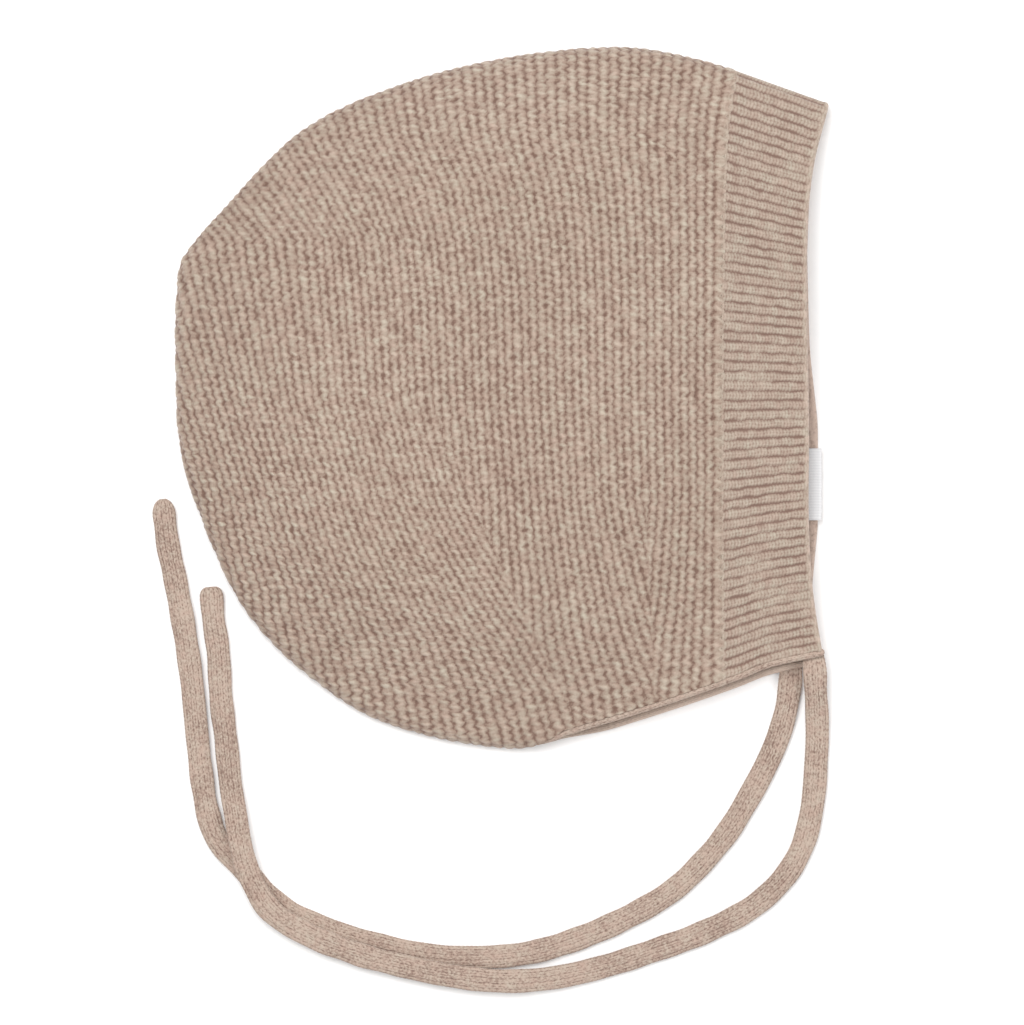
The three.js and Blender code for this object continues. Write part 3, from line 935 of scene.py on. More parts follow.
@dataclass(frozen=True)
class SatinFinish:
    """Woven satin ribbon, with fine lines across.

    Args:
        name: the finish's name.
        base: the colour of the threads on top.
        shade: the colour between them.
    """

    name: str
    base: Colour
    shade: Colour

    def make(self) -> bpy.types.Material:
        """Builds the material.

        Returns:
            The finished material.
        """
        nodes = Nodes(self.name)
        place = nodes.object_place()
        split = nodes.add("ShaderNodeSeparateXYZ", {}, {"Vector": place})
        weft = (split["Y"] * 9000.0).sine() * 0.5 + 0.5
        warp = (split["X"] * 14000.0).sine() * 0.5 + 0.5
        cloth = nodes.noise(place, 900.0, 2.0)
        tone = nodes.mix(weft * 0.5 + cloth * 0.4, self.shade, self.base)
        inputs = {"Strength": 0.25, "Distance": 0.1 * MM, "Height": weft * 0.6 + warp * 0.4}
        bump = nodes.add("ShaderNodeBump", {}, inputs)["Normal"]
        return nodes.surface(Base_Color=tone, Roughness=0.45, Sheen_Weight=0.2, Normal=bump)


# The valley and notch colours are partly painted shade, where the grooves and gaps between the strands lie in
# shade.
CROWN_YARN = YarnColours(
    greenish=colour(205, 194, 176), pinkish=colour(201, 178, 162),
    valley=colour(154, 128, 113), notch=colour(126, 98, 85),
)
BAND_YARN = YarnColours(
    greenish=colour(197, 186, 169), pinkish=colour(193, 170, 155),
    valley=colour(152, 127, 113), notch=colour(132, 104, 92),
)
TIE_YARN = YarnColours(
    greenish=colour(202, 186, 170), pinkish=colour(197, 171, 156),
    valley=colour(148, 123, 110), notch=colour(126, 100, 88),
)


class KnitHeight(NamedTuple):
    """The knitting at one height: the ridges' pitch in three parts, and how many have ended at each dart."""

    up: float
    front_pitch: float
    middle_pitch: float
    back_pitch: float
    front_dart: float
    back_dart: float


class DartPlace(NamedTuple):
    """Where the two darts, lines at which ridges end, cross one height."""

    up: float
    front: float
    back: float


class Knit(NamedTuple):
    """The knitting at places: from 0 in a groove to 1 on a strand, the strand's lightness, and its tint."""

    height: np.ndarray
    light: np.ndarray
    tint: np.ndarray


@dataclass
class Crown:
    """The garter-stitch cap: ridges that run from the folded edge at the top down to the neck.

    Args:
        form: the bonnet's outer form.
        finish: the knit's finish.
        heights: pitches in millimetres and ended ridges, by height in millimetres, from the bottom up.
        darts: where the two darts lie, in millimetres, from the bottom up.
        front_ridges: ridges with the front pitch.
        middle_ridges: ridges with the middle pitch.
        ridges: how many ridges are measured.
        stitch: the length of one stitch along a ridge.
        start_height: the height at which all ridges start a stitch.
        measured_reach: how far up and down ridges are measured, as a share of the bonnet's height.
        measured_levels: at how many heights they are measured.
        draws: after how many half stitches a ridge's unevenness repeats.
        patch_points: places along the coarse sheet that spaces the columns.
        patch_rows: its rows.
        dense_rows: rows of the sheet that is then spaced evenly.
        near_columns: columns of the upper layer.
        near_rows: its rows.
        far_columns: columns of the lower layer.
        far_rows: its rows.
        lining_columns: columns of the lining.
        lining_rows: its rows.
        lining_merge: corners of the lining nearer than this are joined.
        lining_light: how light the lining's knit is.
        off_fold: how far from the folded edge the neck opening starts.
        relief: how high a strand stands.
        sunk: how much of that lies below the plain form, as a share.
        sunk_below: how much more does on the lower layer, which keeps the stitches off the table.
        swing: how far a strand goes to and fro, in ridges.
        strand: half of a strand's width, in ridges.
        dart_width: how softly ridges end at a dart, in ridges.
        scallop: how far the loops along the seam reach.
        scallop_run: how far behind the seam they start.
        turned: how far the edge at the seam turns in.
        turned_run: how far behind the seam the turn starts.
        painted_hollow_shade: how much darker the knit's colour is in the soft hollows, as painted shade.
    """

    form: Form
    finish: GarterFinish
    heights: tuple[KnitHeight, ...] = (
        KnitHeight(-87, 2.8, 2.8, 2.8, 10, 13.5),
        KnitHeight(-73, 2.65, 2.65, 2.65, 8.5, 12.5),
        KnitHeight(-60.5, 2.45, 2.475, 2.475, 6, 11),
        KnitHeight(-48, 2.2, 2.225, 2.225, 3.5, 7.5),
        KnitHeight(-25.5, 1.975, 1.965, 1.98, 0, 2),
        KnitHeight(-0.5, 2.05, 1.975, 2.05, 0, 0),
        KnitHeight(24.5, 2.09, 2.05, 2.38, 0, 0),
        KnitHeight(39.3, 2.15, 2.03, 2.53, 0, 0),
        KnitHeight(52, 2.25, 2.4, 2.8, 0, 0),
        KnitHeight(64.5, 2.44, 2.55, 2.9, 0, 0),
        KnitHeight(77, 2.575, 2.7, 3, 0, 0),
        KnitHeight(88, 2.7, 2.85, 3.1, 0, 0),
    )
    darts: tuple[DartPlace, ...] = (
        DartPlace(-87, 40, 21), DartPlace(-75.5, 38.5, 16.3), DartPlace(-50.5, 37, 3.8),
        DartPlace(-25.5, 36, -7), DartPlace(-0.5, 36, -17.8), DartPlace(88, 36, -40),
    )
    front_ridges: float = 33
    middle_ridges: float = 15
    ridges: int = 92
    stitch: float = 2.15 * MM
    start_height: float = -12 * MM
    measured_reach: float = 0.52
    measured_levels: int = 260
    draws: int = 256
    patch_points: int = 300
    patch_rows: int = 9
    dense_rows: int = 480
    near_columns: int = 408
    near_rows: int = 520
    far_columns: int = 290
    far_rows: int = 300
    lining_columns: int = 36
    lining_rows: int = 48
    lining_merge: float = 0.05 * MM
    lining_light: float = 0.45
    off_fold: float = 0.1 * MM
    relief: float = 0.4 * MM
    sunk: float = 0.5
    sunk_below: float = 0.55
    swing: float = 0.13
    strand: float = 0.4
    dart_width: float = 0.22
    scallop: float = 1.1 * MM
    scallop_run: float = 1.6 * MM
    turned: float = 0.3 * MM
    turned_run: float = 0.5 * MM
    painted_hollow_shade: float = 0.3

    def __post_init__(self) -> None:
        """Reads the tables into curves, measures the ridges and draws the stitches' unevenness."""
        keys = np.array([row.up for row in self.heights]) * MM
        self.pitches = [Table(keys, np.array([row[i] for row in self.heights]) * MM) for i in (1, 2, 3)]
        self.losses = [Table(keys, np.array([row[i] for row in self.heights])) for i in (4, 5)]
        dart_keys = np.array([row.up for row in self.darts]) * MM
        self.lines = [Table(dart_keys, np.array([row[i] for row in self.darts]) * MM) for i in (1, 2)]
        reach = BONNET_HEIGHT * self.measured_reach
        self.levels = np.linspace(-reach, reach, self.measured_levels)
        x = self.plan(np.arange(self.ridges)[:, None], self.levels[None, :])
        z = self.form.height(x, np.broadcast_to(self.levels, x.shape), Side.UPPER)
        steps = np.sqrt(np.diff(x) ** 2 + np.diff(z) ** 2 + np.diff(self.levels) ** 2)
        run = np.hstack((np.zeros((self.ridges, 1)), np.cumsum(steps, axis=1)))
        start = np.array([np.interp(self.start_height, self.levels, row) for row in run])
        self.counts = (run - start[:, None]) / self.stitch
        chance = np.random.default_rng(17)
        self.chance = chance.uniform(-1, 1, (4, self.ridges, self.draws))
        self.starts = chance.uniform(-0.16, 0.16, self.ridges)

    def ridges_at(self, y: np.ndarray) -> tuple[list, np.ndarray, list, list]:
        """How the ridges lie at heights.

        Args:
            y: the heights.

        Returns:
            The three pitches from the seam back, the seam's place, how many ridges behind the seam each dart
            lies, and how many ridges have ended at each.
        """
        pitches = [pitch.straight(y) for pitch in self.pitches]
        seam = self.form.seam(y)
        darts = [(seam - line.straight(y)) / pitches[0] for line in self.lines]
        return pitches, seam, darts, [np.maximum(loss.straight(y), 0) for loss in self.losses]

    def plan(self, ridge: np.ndarray, y: np.ndarray) -> np.ndarray:
        """Where ridges lie along the bonnet.

        Args:
            ridge: the ridges' numbers, counted from the seam.
            y: heights up the bonnet.

        Returns:
            The ridges' places at the heights.
        """
        (front, middle, back), seam, (first, second), (first_loss, second_loss) = self.ridges_at(y)
        ended = np.clip(ridge - first, 0, first_loss) + np.clip(ridge - second - first_loss, 0, second_loss)
        left = ridge - ended - self.front_ridges
        in_front = front * (self.front_ridges + np.minimum(left, 0))
        in_middle = middle * np.clip(left, 0, self.middle_ridges)
        return seam - in_front - in_middle - back * np.maximum(left - self.middle_ridges, 0)

    def count(self, ridge: np.ndarray, y: np.ndarray) -> np.ndarray:
        """How many stitches up their ridges places lie.

        Args:
            ridge: the ridges' numbers, also between two ridges.
            y: heights up the bonnet.

        Returns:
            The stitches from the start height.
        """
        low = np.clip(np.floor(ridge).astype(int), 0, self.ridges - 2)
        share = ridge - low
        step = self.levels[1] - self.levels[0]
        level = np.clip((y - self.levels[0]) / step, 0, len(self.levels) - 1.001)
        i = level.astype(int)
        rise = level - i
        values = [lerp(self.counts[row, i], self.counts[row, i + 1], rise) for row in (low, low + 1)]
        return lerp(values[0], values[1], share)

    def strands(self, ridge: np.ndarray, y: np.ndarray) -> Knit:
        """The knitting, where each ridge is one strand that goes to and fro.

        Args:
            ridge: the ridges' numbers, also between two ridges.
            y: heights up the bonnet.

        Returns:
            The knitting at each place.
        """
        stitch = self.count(ridge, y)
        slow, quick = wander(ridge / 7, stitch / 9, seed=5), wander(ridge / 1.1, stitch / 1.3, seed=6)
        stitch = stitch + 0.3 * slow + 0.07 * quick
        ridge = ridge + 0.1 * wander(ridge / 1.9, stitch / 2.6, seed=31)
        row = np.floor(ridge)
        height, light, tint = (np.zeros(ridge.shape) for _ in range(3))
        for step in (-1, 0, 1):
            number = (row + step).astype(int) % self.ridges
            turn = 2 * (stitch + self.starts[number])
            bend = np.floor(turn).astype(int)
            t = turn - bend
            here, there = (self.chance[:, number, place % self.draws] for place in (bend, bend + 1))
            side = 1 - 2 * (bend % 2)
            soft = lerp(t, smoothstep(t, 0, 1), 0.55)
            centre = lerp(side * (1 + 0.4 * here[0]), -side * (1 + 0.4 * there[0]), soft)
            width = self.strand * (1 + 0.16 * lerp(here[1], there[1], t))
            off = np.abs(ridge - row - step - 0.5 - self.swing * centre) / width
            ends = np.abs(2 * t - 1) ** 3
            near = np.exp(-off ** 2.6) * (1 - 0.14 * ends)
            # Painted light: strokes that lean one way are lighter than those that lean the other, as under a
            # light from one side.
            level = near * (0.81 - 0.1 * side + 0.2 * here[2]) * (1 - 0.22 * ends)
            tint = np.where(level > light, 0.5 + 0.5 * here[3], tint)
            height, light = np.maximum(height, near), np.maximum(light, level)
        return Knit(height, light, tint)

    def knit(self, x: np.ndarray, y: np.ndarray) -> Knit:
        """The knitting at places on the plan.

        Args:
            x: places along the bonnet.
            y: places up the bonnet.

        Returns:
            The knitting at each place.
        """
        (front, middle, back), seam, (first, second), losses = self.ridges_at(y)
        behind = seam - x - front * self.front_ridges
        in_middle = np.clip(behind / middle, 0, self.middle_ridges)
        in_back = np.maximum((behind - middle * self.middle_ridges) / back, 0)
        left = self.front_ridges + np.minimum(behind / front, 0) + in_middle + in_back
        at_second = left > (first + second) / 2
        share = smoothstep(left - np.where(at_second, second, first), -self.dart_width, self.dart_width)
        ended = np.where(at_second, losses[0], 0)
        before = self.strands(left + ended, y)
        after = self.strands(left + ended + np.where(at_second, losses[1], losses[0]), y)
        both = Knit(*(lerp(low, high, share) for low, high in zip(before, after)))
        bumps = 0.55 + 0.4 * np.abs(np.sin(math.pi * self.count(np.zeros(left.shape), y)))
        selvage = bumps * (1 - smoothstep(left, 0.1, 0.5))
        return Knit(np.maximum(both.height, selvage), np.maximum(both.light, selvage), both.tint)

    def sheet(self, side: Side, columns: int, rows: int, wall: float = 0) -> np.ndarray:
        """Places on a layer, by row from the neck up and by column from the back to the seam.

        Args:
            side: the layer.
            columns: how many columns.
            rows: how many rows, at even distances on each column.
            wall: how far inside the outer surface.

        Returns:
            The places.
        """
        sides = self.form.sides(side, wall)
        points, ups = np.linspace(0, 1, self.patch_points), np.linspace(0, 1, self.patch_rows)
        middle = between(*sides, points, ups)[self.patch_rows // 2]
        level = self.form.height(middle[:, 0], middle[:, 1], side, wall)
        steps = np.hypot(np.linalg.norm(np.diff(middle, axis=0), axis=1), np.diff(level))
        spread = np.concatenate(([0], np.cumsum(steps)))
        shares = np.interp(np.linspace(0, spread[-1], columns), spread, points)
        plan = between(*sides, shares, (1 - np.cos(np.linspace(0, math.pi, self.dense_rows))) / 2)
        x, y = plan[..., 0], plan[..., 1]
        lines = np.stack((x, y, self.form.height(x, y, side, wall)), axis=2)
        return np.stack([even_line(lines[:, i], rows) for i in range(columns)], axis=1)

    def layer(self, side: Side, columns: int, rows: int) -> tuple[np.ndarray, np.ndarray]:
        """A layer with its stitches in relief.

        Args:
            side: the layer.
            columns: how many columns.
            rows: how many rows.

        Returns:
            The places, and the two values that the finish reads at each.
        """
        places = self.sheet(side, columns, rows)
        x, y = places[..., 0], places[..., 1]
        knit = self.knit(x, y)
        out = normals_of(places)
        sunk = self.sunk
        if side is Side.LOWER:
            out = -out
            sunk = self.sunk + self.sunk_below * smoothstep(self.form.distance(x, y), 0, FOLD_RADIUS)
        from_seam = self.form.seam(y) - x
        loops = np.abs(np.sin(math.pi * (y / RIB_PITCH + 0.12 * wander(y / (9 * MM), np.zeros(1), seed=8))))
        turned = self.turned * (1 - smoothstep(from_seam, 0, self.turned_run))
        places = places + out * (self.relief * (knit.height - sunk) - turned)[..., None]
        places[..., 0] += (1 - smoothstep(from_seam, 0, self.scallop_run)) * self.scallop * (loops - 0.35)
        # Painted shade: the knit's lightness drops with the depth of the soft hollows.
        hollow = sum(dent.depth(x, y) for dent in CROWN_DENTS)
        return places, np.stack((knit.light - self.painted_hollow_shade * hollow, knit.tint), axis=2)

    def lining(self) -> bpy.types.Object:
        """The inner face of both layers, which turns out to the outer face at the openings.

        Returns:
            The new piece.
        """
        halves = []
        for side in Side:
            inner = self.sheet(side, self.lining_columns, self.lining_rows, CROWN_WALL)
            outer = self.sheet(side, self.lining_columns, self.lining_rows)
            at_neck = self.form.distance(outer[0, :, 0], outer[0, :, 1]) > self.off_fold
            at_neck[:-1] |= at_neck[1:]
            hem = np.where(at_neck[:, None], outer[0], inner[0])
            places = np.vstack((hem[None], inner))
            edge = np.vstack((outer[:1, -1], outer[:, -1]))
            places = np.hstack((places, edge[:, None]))
            values = np.full((*places.shape[:2], 2), self.lining_light)
            halves.append(grid_piece("crown_lining", places, values))
        upper, lower = (half.data for half in halves)
        shell = bmesh.new()
        shell.from_mesh(upper)
        shell.from_mesh(lower)
        bmesh.ops.remove_doubles(shell, verts=shell.verts, dist=self.lining_merge)
        bmesh.ops.recalc_face_normals(shell, faces=shell.faces)
        bmesh.ops.reverse_faces(shell, faces=shell.faces)
        shell.to_mesh(upper)
        shell.free()
        bpy.data.objects.remove(halves[1])
        upper.shade_smooth()
        return halves[0]

    def build(self) -> None:
        """Builds the outer pieces of both layers and the inner lining."""
        material = self.finish.make()
        places, values = self.layer(Side.UPPER, self.near_columns, self.near_rows)
        pieces = []
        names = ("crown_near_back", "crown_near_middle", "crown_near_front")
        ends = np.linspace(0, self.near_columns - 1, len(names) + 1).astype(int)
        for name, first, last in zip(names, ends[:-1], ends[1:]):
            pieces.append(grid_piece(name, places[:, first:last + 1], values[:, first:last + 1]))
        places, values = self.layer(Side.LOWER, self.far_columns, self.far_rows)
        pieces.append(grid_piece("crown_far", places[:, ::-1], values[:, ::-1]))
        pieces.append(self.lining())
        for piece in pieces:
            piece.data.materials.append(material)
            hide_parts("crown")


@dataclass
class FaceBand:
    """The ribbed band: a sheet with two faces, down the upper layer, round the fold and down the lower one.

    Args:
        form: the bonnet's outer form.
        finish: the knit's finish.
        rib_samples: places round the band for each rib.
        rib_depth: how deep the grooves between the ribs are.
        centre_depth: how deep the line along the middle of a rib is.
        outer_samples: places across the outer face.
        inner_samples: places across the inner face.
        edge_samples: steps round the rolled face edge.
        stitch: the length of one stitch across the band.
        tuck: how deep the back edge goes under the crown.
        lap: how far it goes back past the seam.
        edge_bead: how far the face edge stands proud.
        overlap: how far both ends reach into the roll round the neck.
        seam_run: how far before the seam the ribs have their full depth.
        tuck_run: how far before the seam the tuck ends.
        waviness: how far the ribs wander.
        still_at_fold: how far from the fold they wander fully.
        inner_ahead: how many stitches the inner face's pattern is ahead, which gives the inner face near the
            face edge the painted light of the rolled edge.
    """

    form: Form
    finish: RibFinish
    rib_samples: int = 6
    rib_depth: float = 0.38 * MM
    centre_depth: float = 0.14 * MM
    outer_samples: int = 70
    inner_samples: int = 10
    edge_samples: int = 8
    stitch: float = 0.8 * MM
    tuck: float = 0.7 * MM
    lap: float = 0.8 * MM
    edge_bead: float = 0.2 * MM
    overlap: float = 0.6 * MM
    seam_run: float = 0.8 * MM
    tuck_run: float = 0.3 * MM
    waviness: float = 0.16 * MM
    still_at_fold: float = 4 * MM
    inner_ahead: float = 3

    def plan(self, across: np.ndarray, down: np.ndarray, side: Side) -> tuple[np.ndarray, np.ndarray]:
        """A place on the band's plan.

        Args:
            across: from 0 at the seam to 1 at the face edge.
            down: the distance down from the folded edge.
            side: the layer.

        Returns:
            The places along and up the bonnet.
        """
        form, inset = self.form, BAND_INSET
        table = UPPER_FACE_EDGE if side is Side.UPPER else LOWER_FACE_EDGE
        seam_top, seam_low = SEAM[0].up * BONNET_HEIGHT, SEAM[-1].up * BONNET_HEIGHT
        seam_bottom = form.neck_line(form.seam(seam_low), side, inset)
        face_top, face_low = table[0].up * BONNET_HEIGHT, table[-1].up * BONNET_HEIGHT
        face_bottom = form.neck_line(form.face(face_low, side), side, inset)
        share = down / (seam_top - seam_bottom)
        seam_y, face_y = lerp(seam_top, seam_bottom, share), lerp(face_top, face_bottom, share)
        x = lerp(form.seam(seam_y), form.face(face_y, side), across)
        straight_end = lerp(seam_bottom, face_bottom, across)
        bow = (form.neck_line(x, side, inset) - straight_end) * np.clip(share, 0, None) ** 4
        return x, lerp(seam_y, face_y, across) + bow

    def girth(self, side: Side) -> float:
        """How far the band goes from the middle of the fold to its end.

        Args:
            side: the layer.

        Returns:
            The distance round the outer face.
        """
        end = self.form.neck_line(self.form.seam(SEAM[-1].up * BONNET_HEIGHT), side, BAND_INSET)
        down = SEAM[0].up * BONNET_HEIGHT - float(end) - FOLD_RADIUS
        return math.pi / 2 * FOLD_RADIUS + down + self.overlap

    def places(self, across: np.ndarray, girth: np.ndarray, depth: np.ndarray) -> np.ndarray:
        """Places on the band.

        Args:
            across: from 0 at the seam to 1 at the face edge.
            girth: the distance round from the fold, below 0 on the lower layer.
            depth: how far below the outer face.

        Returns:
            The places.
        """
        result = np.empty((*np.shape(girth), 3))
        for side in Side:
            sign = 1 if side is Side.UPPER else -1
            chosen = girth * sign >= 0
            run, deep, part = np.abs(girth[chosen]), depth[chosen], across[chosen]
            left = FOLD_RADIUS - deep
            turn = np.minimum(run / FOLD_RADIUS, math.pi / 2)
            down = FOLD_RADIUS - left * np.cos(turn) + np.maximum(run - FOLD_RADIUS * math.pi / 2, 0)
            x, y = self.plan(part, down, side)
            rise = left * np.sin(turn)
            if side is Side.UPPER:
                z = FOLD_RADIUS + rise + self.form.loft(x, y, self.form.distance(x, y))
            else:
                z = np.maximum(FOLD_RADIUS - rise, 0)
            result[chosen] = np.stack((x, y, z), axis=-1)
        return result

    def section(self, width: float) -> tuple[np.ndarray, np.ndarray]:
        """The band's plain section, from the seam round the rolled face edge and back inside.

        Args:
            width: how wide the band is, from the seam to the face edge.

        Returns:
            The share across and the depth below the outer face of each corner.
        """
        round_share = BAND_WALL / 2 / width
        turn = np.linspace(0, math.pi, self.edge_samples + 1)[1:-1]
        outer = np.concatenate(([-self.lap / width], np.linspace(0, 1 - round_share, self.outer_samples)))
        inner = np.linspace(1 - round_share, 0, self.inner_samples)
        shares = np.concatenate((outer, 1 - round_share + round_share * np.sin(turn), inner, outer[:1]))
        rolled = BAND_WALL / 2 * (1 - np.cos(turn))
        return shares, np.concatenate((np.zeros(len(outer)), rolled, np.full(len(inner), BAND_WALL), [0]))

    def relief(self, rib: np.ndarray, shares: np.ndarray, bottom: np.ndarray, width: float) -> np.ndarray:
        """How deep corners lie with the ribs, the tuck under the seam and the bead of the face edge.

        Args:
            rib: ribs counted round the band.
            shares: each corner's share across.
            bottom: each corner's depth in the plain section.
            width: how wide the band is, from the seam to the face edge.

        Returns:
            The depths, by place round the band and by corner.
        """
        across_rib = np.abs(rib - np.floor(rib) - 0.5) * 2
        profile = self.rib_depth * smoothstep(across_rib, 0.3, 1.0)
        profile += self.centre_depth * (1 - smoothstep(across_rib, 0.0, 0.35))
        round_share = BAND_WALL / 2 / width
        outside = 1 - smoothstep(bottom, 0, BAND_WALL)
        near_edge = smoothstep(shares, 1 - 1.8 * round_share, 1 - 0.3 * round_share)
        ribbed = outside * (1 - near_edge) * smoothstep(shares * width, 0, self.seam_run)
        tucked = self.tuck * (1 - smoothstep(shares * width, -self.lap, self.tuck_run)) * outside
        return bottom + tucked - self.edge_bead * near_edge * outside + profile[:, None] * ribbed

    def build(self) -> None:
        """Builds the band."""
        upper, lower = self.girth(Side.UPPER), self.girth(Side.LOWER)
        pitch = upper / round(upper / RIB_PITCH)
        count = int(round((upper + lower) / pitch * self.rib_samples))
        girth = np.linspace(upper, -lower, count + 1)
        rib = girth / pitch
        width = float(self.form.face(0, Side.UPPER) - self.form.seam(0))
        shares, bottom = self.section(width)
        wave = wander(girth[:, None] / (6 * MM), shares * width / (5 * MM), seed=11)
        wave *= np.clip(np.abs(girth) / self.still_at_fold, 0, 1)[:, None]
        moved = np.clip(girth[:, None] + self.waviness * wave, -lower, upper)
        depth = self.relief(rib, shares, bottom, width)
        places = self.places(np.broadcast_to(shares, moved.shape), moved, depth)
        # The inner face's stitches run ahead, so that its part near the face edge takes the rolled edge's
        # painted light.
        along = shares * width / self.stitch + self.inner_ahead * (bottom > BAND_WALL / 2)
        coordinates = np.stack(np.broadcast_arrays(rib[:, None], along[None, :]), axis=2)
        piece = grid_piece("face_band_knit", places[:, ::-1], coordinates[:, ::-1], merge=SAME_CORNER)
        piece.data.materials.append(self.finish.make())
        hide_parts("face_band")


def sweep(line: np.ndarray, side_offsets: np.ndarray, up_offsets: np.ndarray) -> np.ndarray:
    """The corners of a tube along a line, by step and by corner of its section.

    Args:
        line: the middle line.
        side_offsets: how far each corner lies to the side, by corner or by step and corner.
        up_offsets: how far each corner lies above the line, likewise.

    Returns:
        The corners.
    """
    ahead = np.gradient(line, axis=0)
    ahead /= np.linalg.norm(ahead, axis=1, keepdims=True)
    ups = np.empty_like(line)
    up = np.array([0, 0, 1.0])
    for i, direction in enumerate(ahead):
        up = up - direction * np.dot(up, direction)
        up /= np.linalg.norm(up)
        ups[i] = up
    sides = np.cross(ahead, ups)
    side_offsets = np.broadcast_to(side_offsets, (len(line), side_offsets.shape[-1]))
    up_offsets = np.broadcast_to(up_offsets, (len(line), up_offsets.shape[-1]))
    return line[:, None] + sides[:, None] * side_offsets[..., None] + ups[:, None] * up_offsets[..., None]


@dataclass
class NeckBinding:
    """The rolled edge round the neck, from the upper chin corner round the nape to the lower one.

    Args:
        form: the bonnet's outer form.
        finish: the knit's finish.
        steps: places along the edge of each layer.
        fine_steps: places along the whole roll.
        sides: corners round the roll.
        stitch: the length of one stitch.
        columns: columns of stitches round the roll.
        groove: how deep the lines between the columns are.
        turn_run: how far from the nape the roll has its full size.
        turn_size: its size at the nape, as a share.
        end_size: how far from its very end the roll is closed, in radii.
    """

    form: Form
    finish: PlainFinish
    steps: int = 36
    fine_steps: int = 620
    sides: int = 20
    stitch: float = 1.1 * MM
    columns: int = 6
    groove: float = 0.06 * MM
    turn_run: float = 12 * MM
    turn_size: float = 0.4
    end_size: float = 0.03

    def build(self) -> None:
        """Builds the roll."""
        radius = BINDING_DIAMETER / 2
        first, last = UPPER_FACE_EDGE[-1].along * BONNET_LENGTH, LOWER_TIE_ROUTE[0][0] * MM + TIE_WIDTH
        upper_x = np.linspace(first, NAPE_X, self.steps + 1)
        upper_y = self.form.neck_line(upper_x, Side.UPPER, radius)
        loft = self.form.loft(upper_x, upper_y, self.form.distance(upper_x, upper_y))
        upper = np.stack((upper_x, upper_y, FOLD_THICKNESS + loft - CROWN_WALL / 2), axis=1)
        turn_x = NAPE_X - FOLD_RADIUS / 2
        turn_y = float(self.form.neck_line(turn_x, Side.UPPER, radius))
        turn = np.array([[turn_x + radius, turn_y, FOLD_RADIUS]])
        lower_x = np.linspace(NAPE_X, last, self.steps + 1)
        lower_y = self.form.neck_line(lower_x, Side.LOWER, radius)
        lower = np.stack((lower_x, lower_y, np.full(len(lower_x), radius + CLEARANCE / 2)), axis=1)
        line = even_line(smooth_line(np.vstack((upper, turn, lower)), 8), self.fine_steps)
        angle = np.linspace(0, 2 * math.pi, self.sides + 1)
        column = angle / (2 * math.pi) * self.columns
        reach = radius - self.groove * (1 - np.abs(np.sin(math.pi * column)))
        run = np.linspace(0, np.linalg.norm(np.diff(line, axis=0), axis=1).sum(), len(line))
        from_end = np.clip(np.minimum(run, run[-1] - run) / radius, self.end_size, 1)
        at_turn = smoothstep(np.abs(run - run[np.argmin(line[:, 0])]), 0, self.turn_run)
        size = (np.sqrt(1 - (1 - from_end) ** 2) * lerp(self.turn_size, 1, at_turn))[:, None]
        places = sweep(line, size * reach * np.cos(angle), size * reach * np.sin(angle))
        coordinates = np.stack(np.broadcast_arrays(column[None, :], run[:, None] / self.stitch), axis=2)
        piece = grid_piece("neck_roll", places, coordinates, merge=SAME_CORNER)
        piece.data.materials.append(self.finish.make())
        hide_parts("neck_binding")


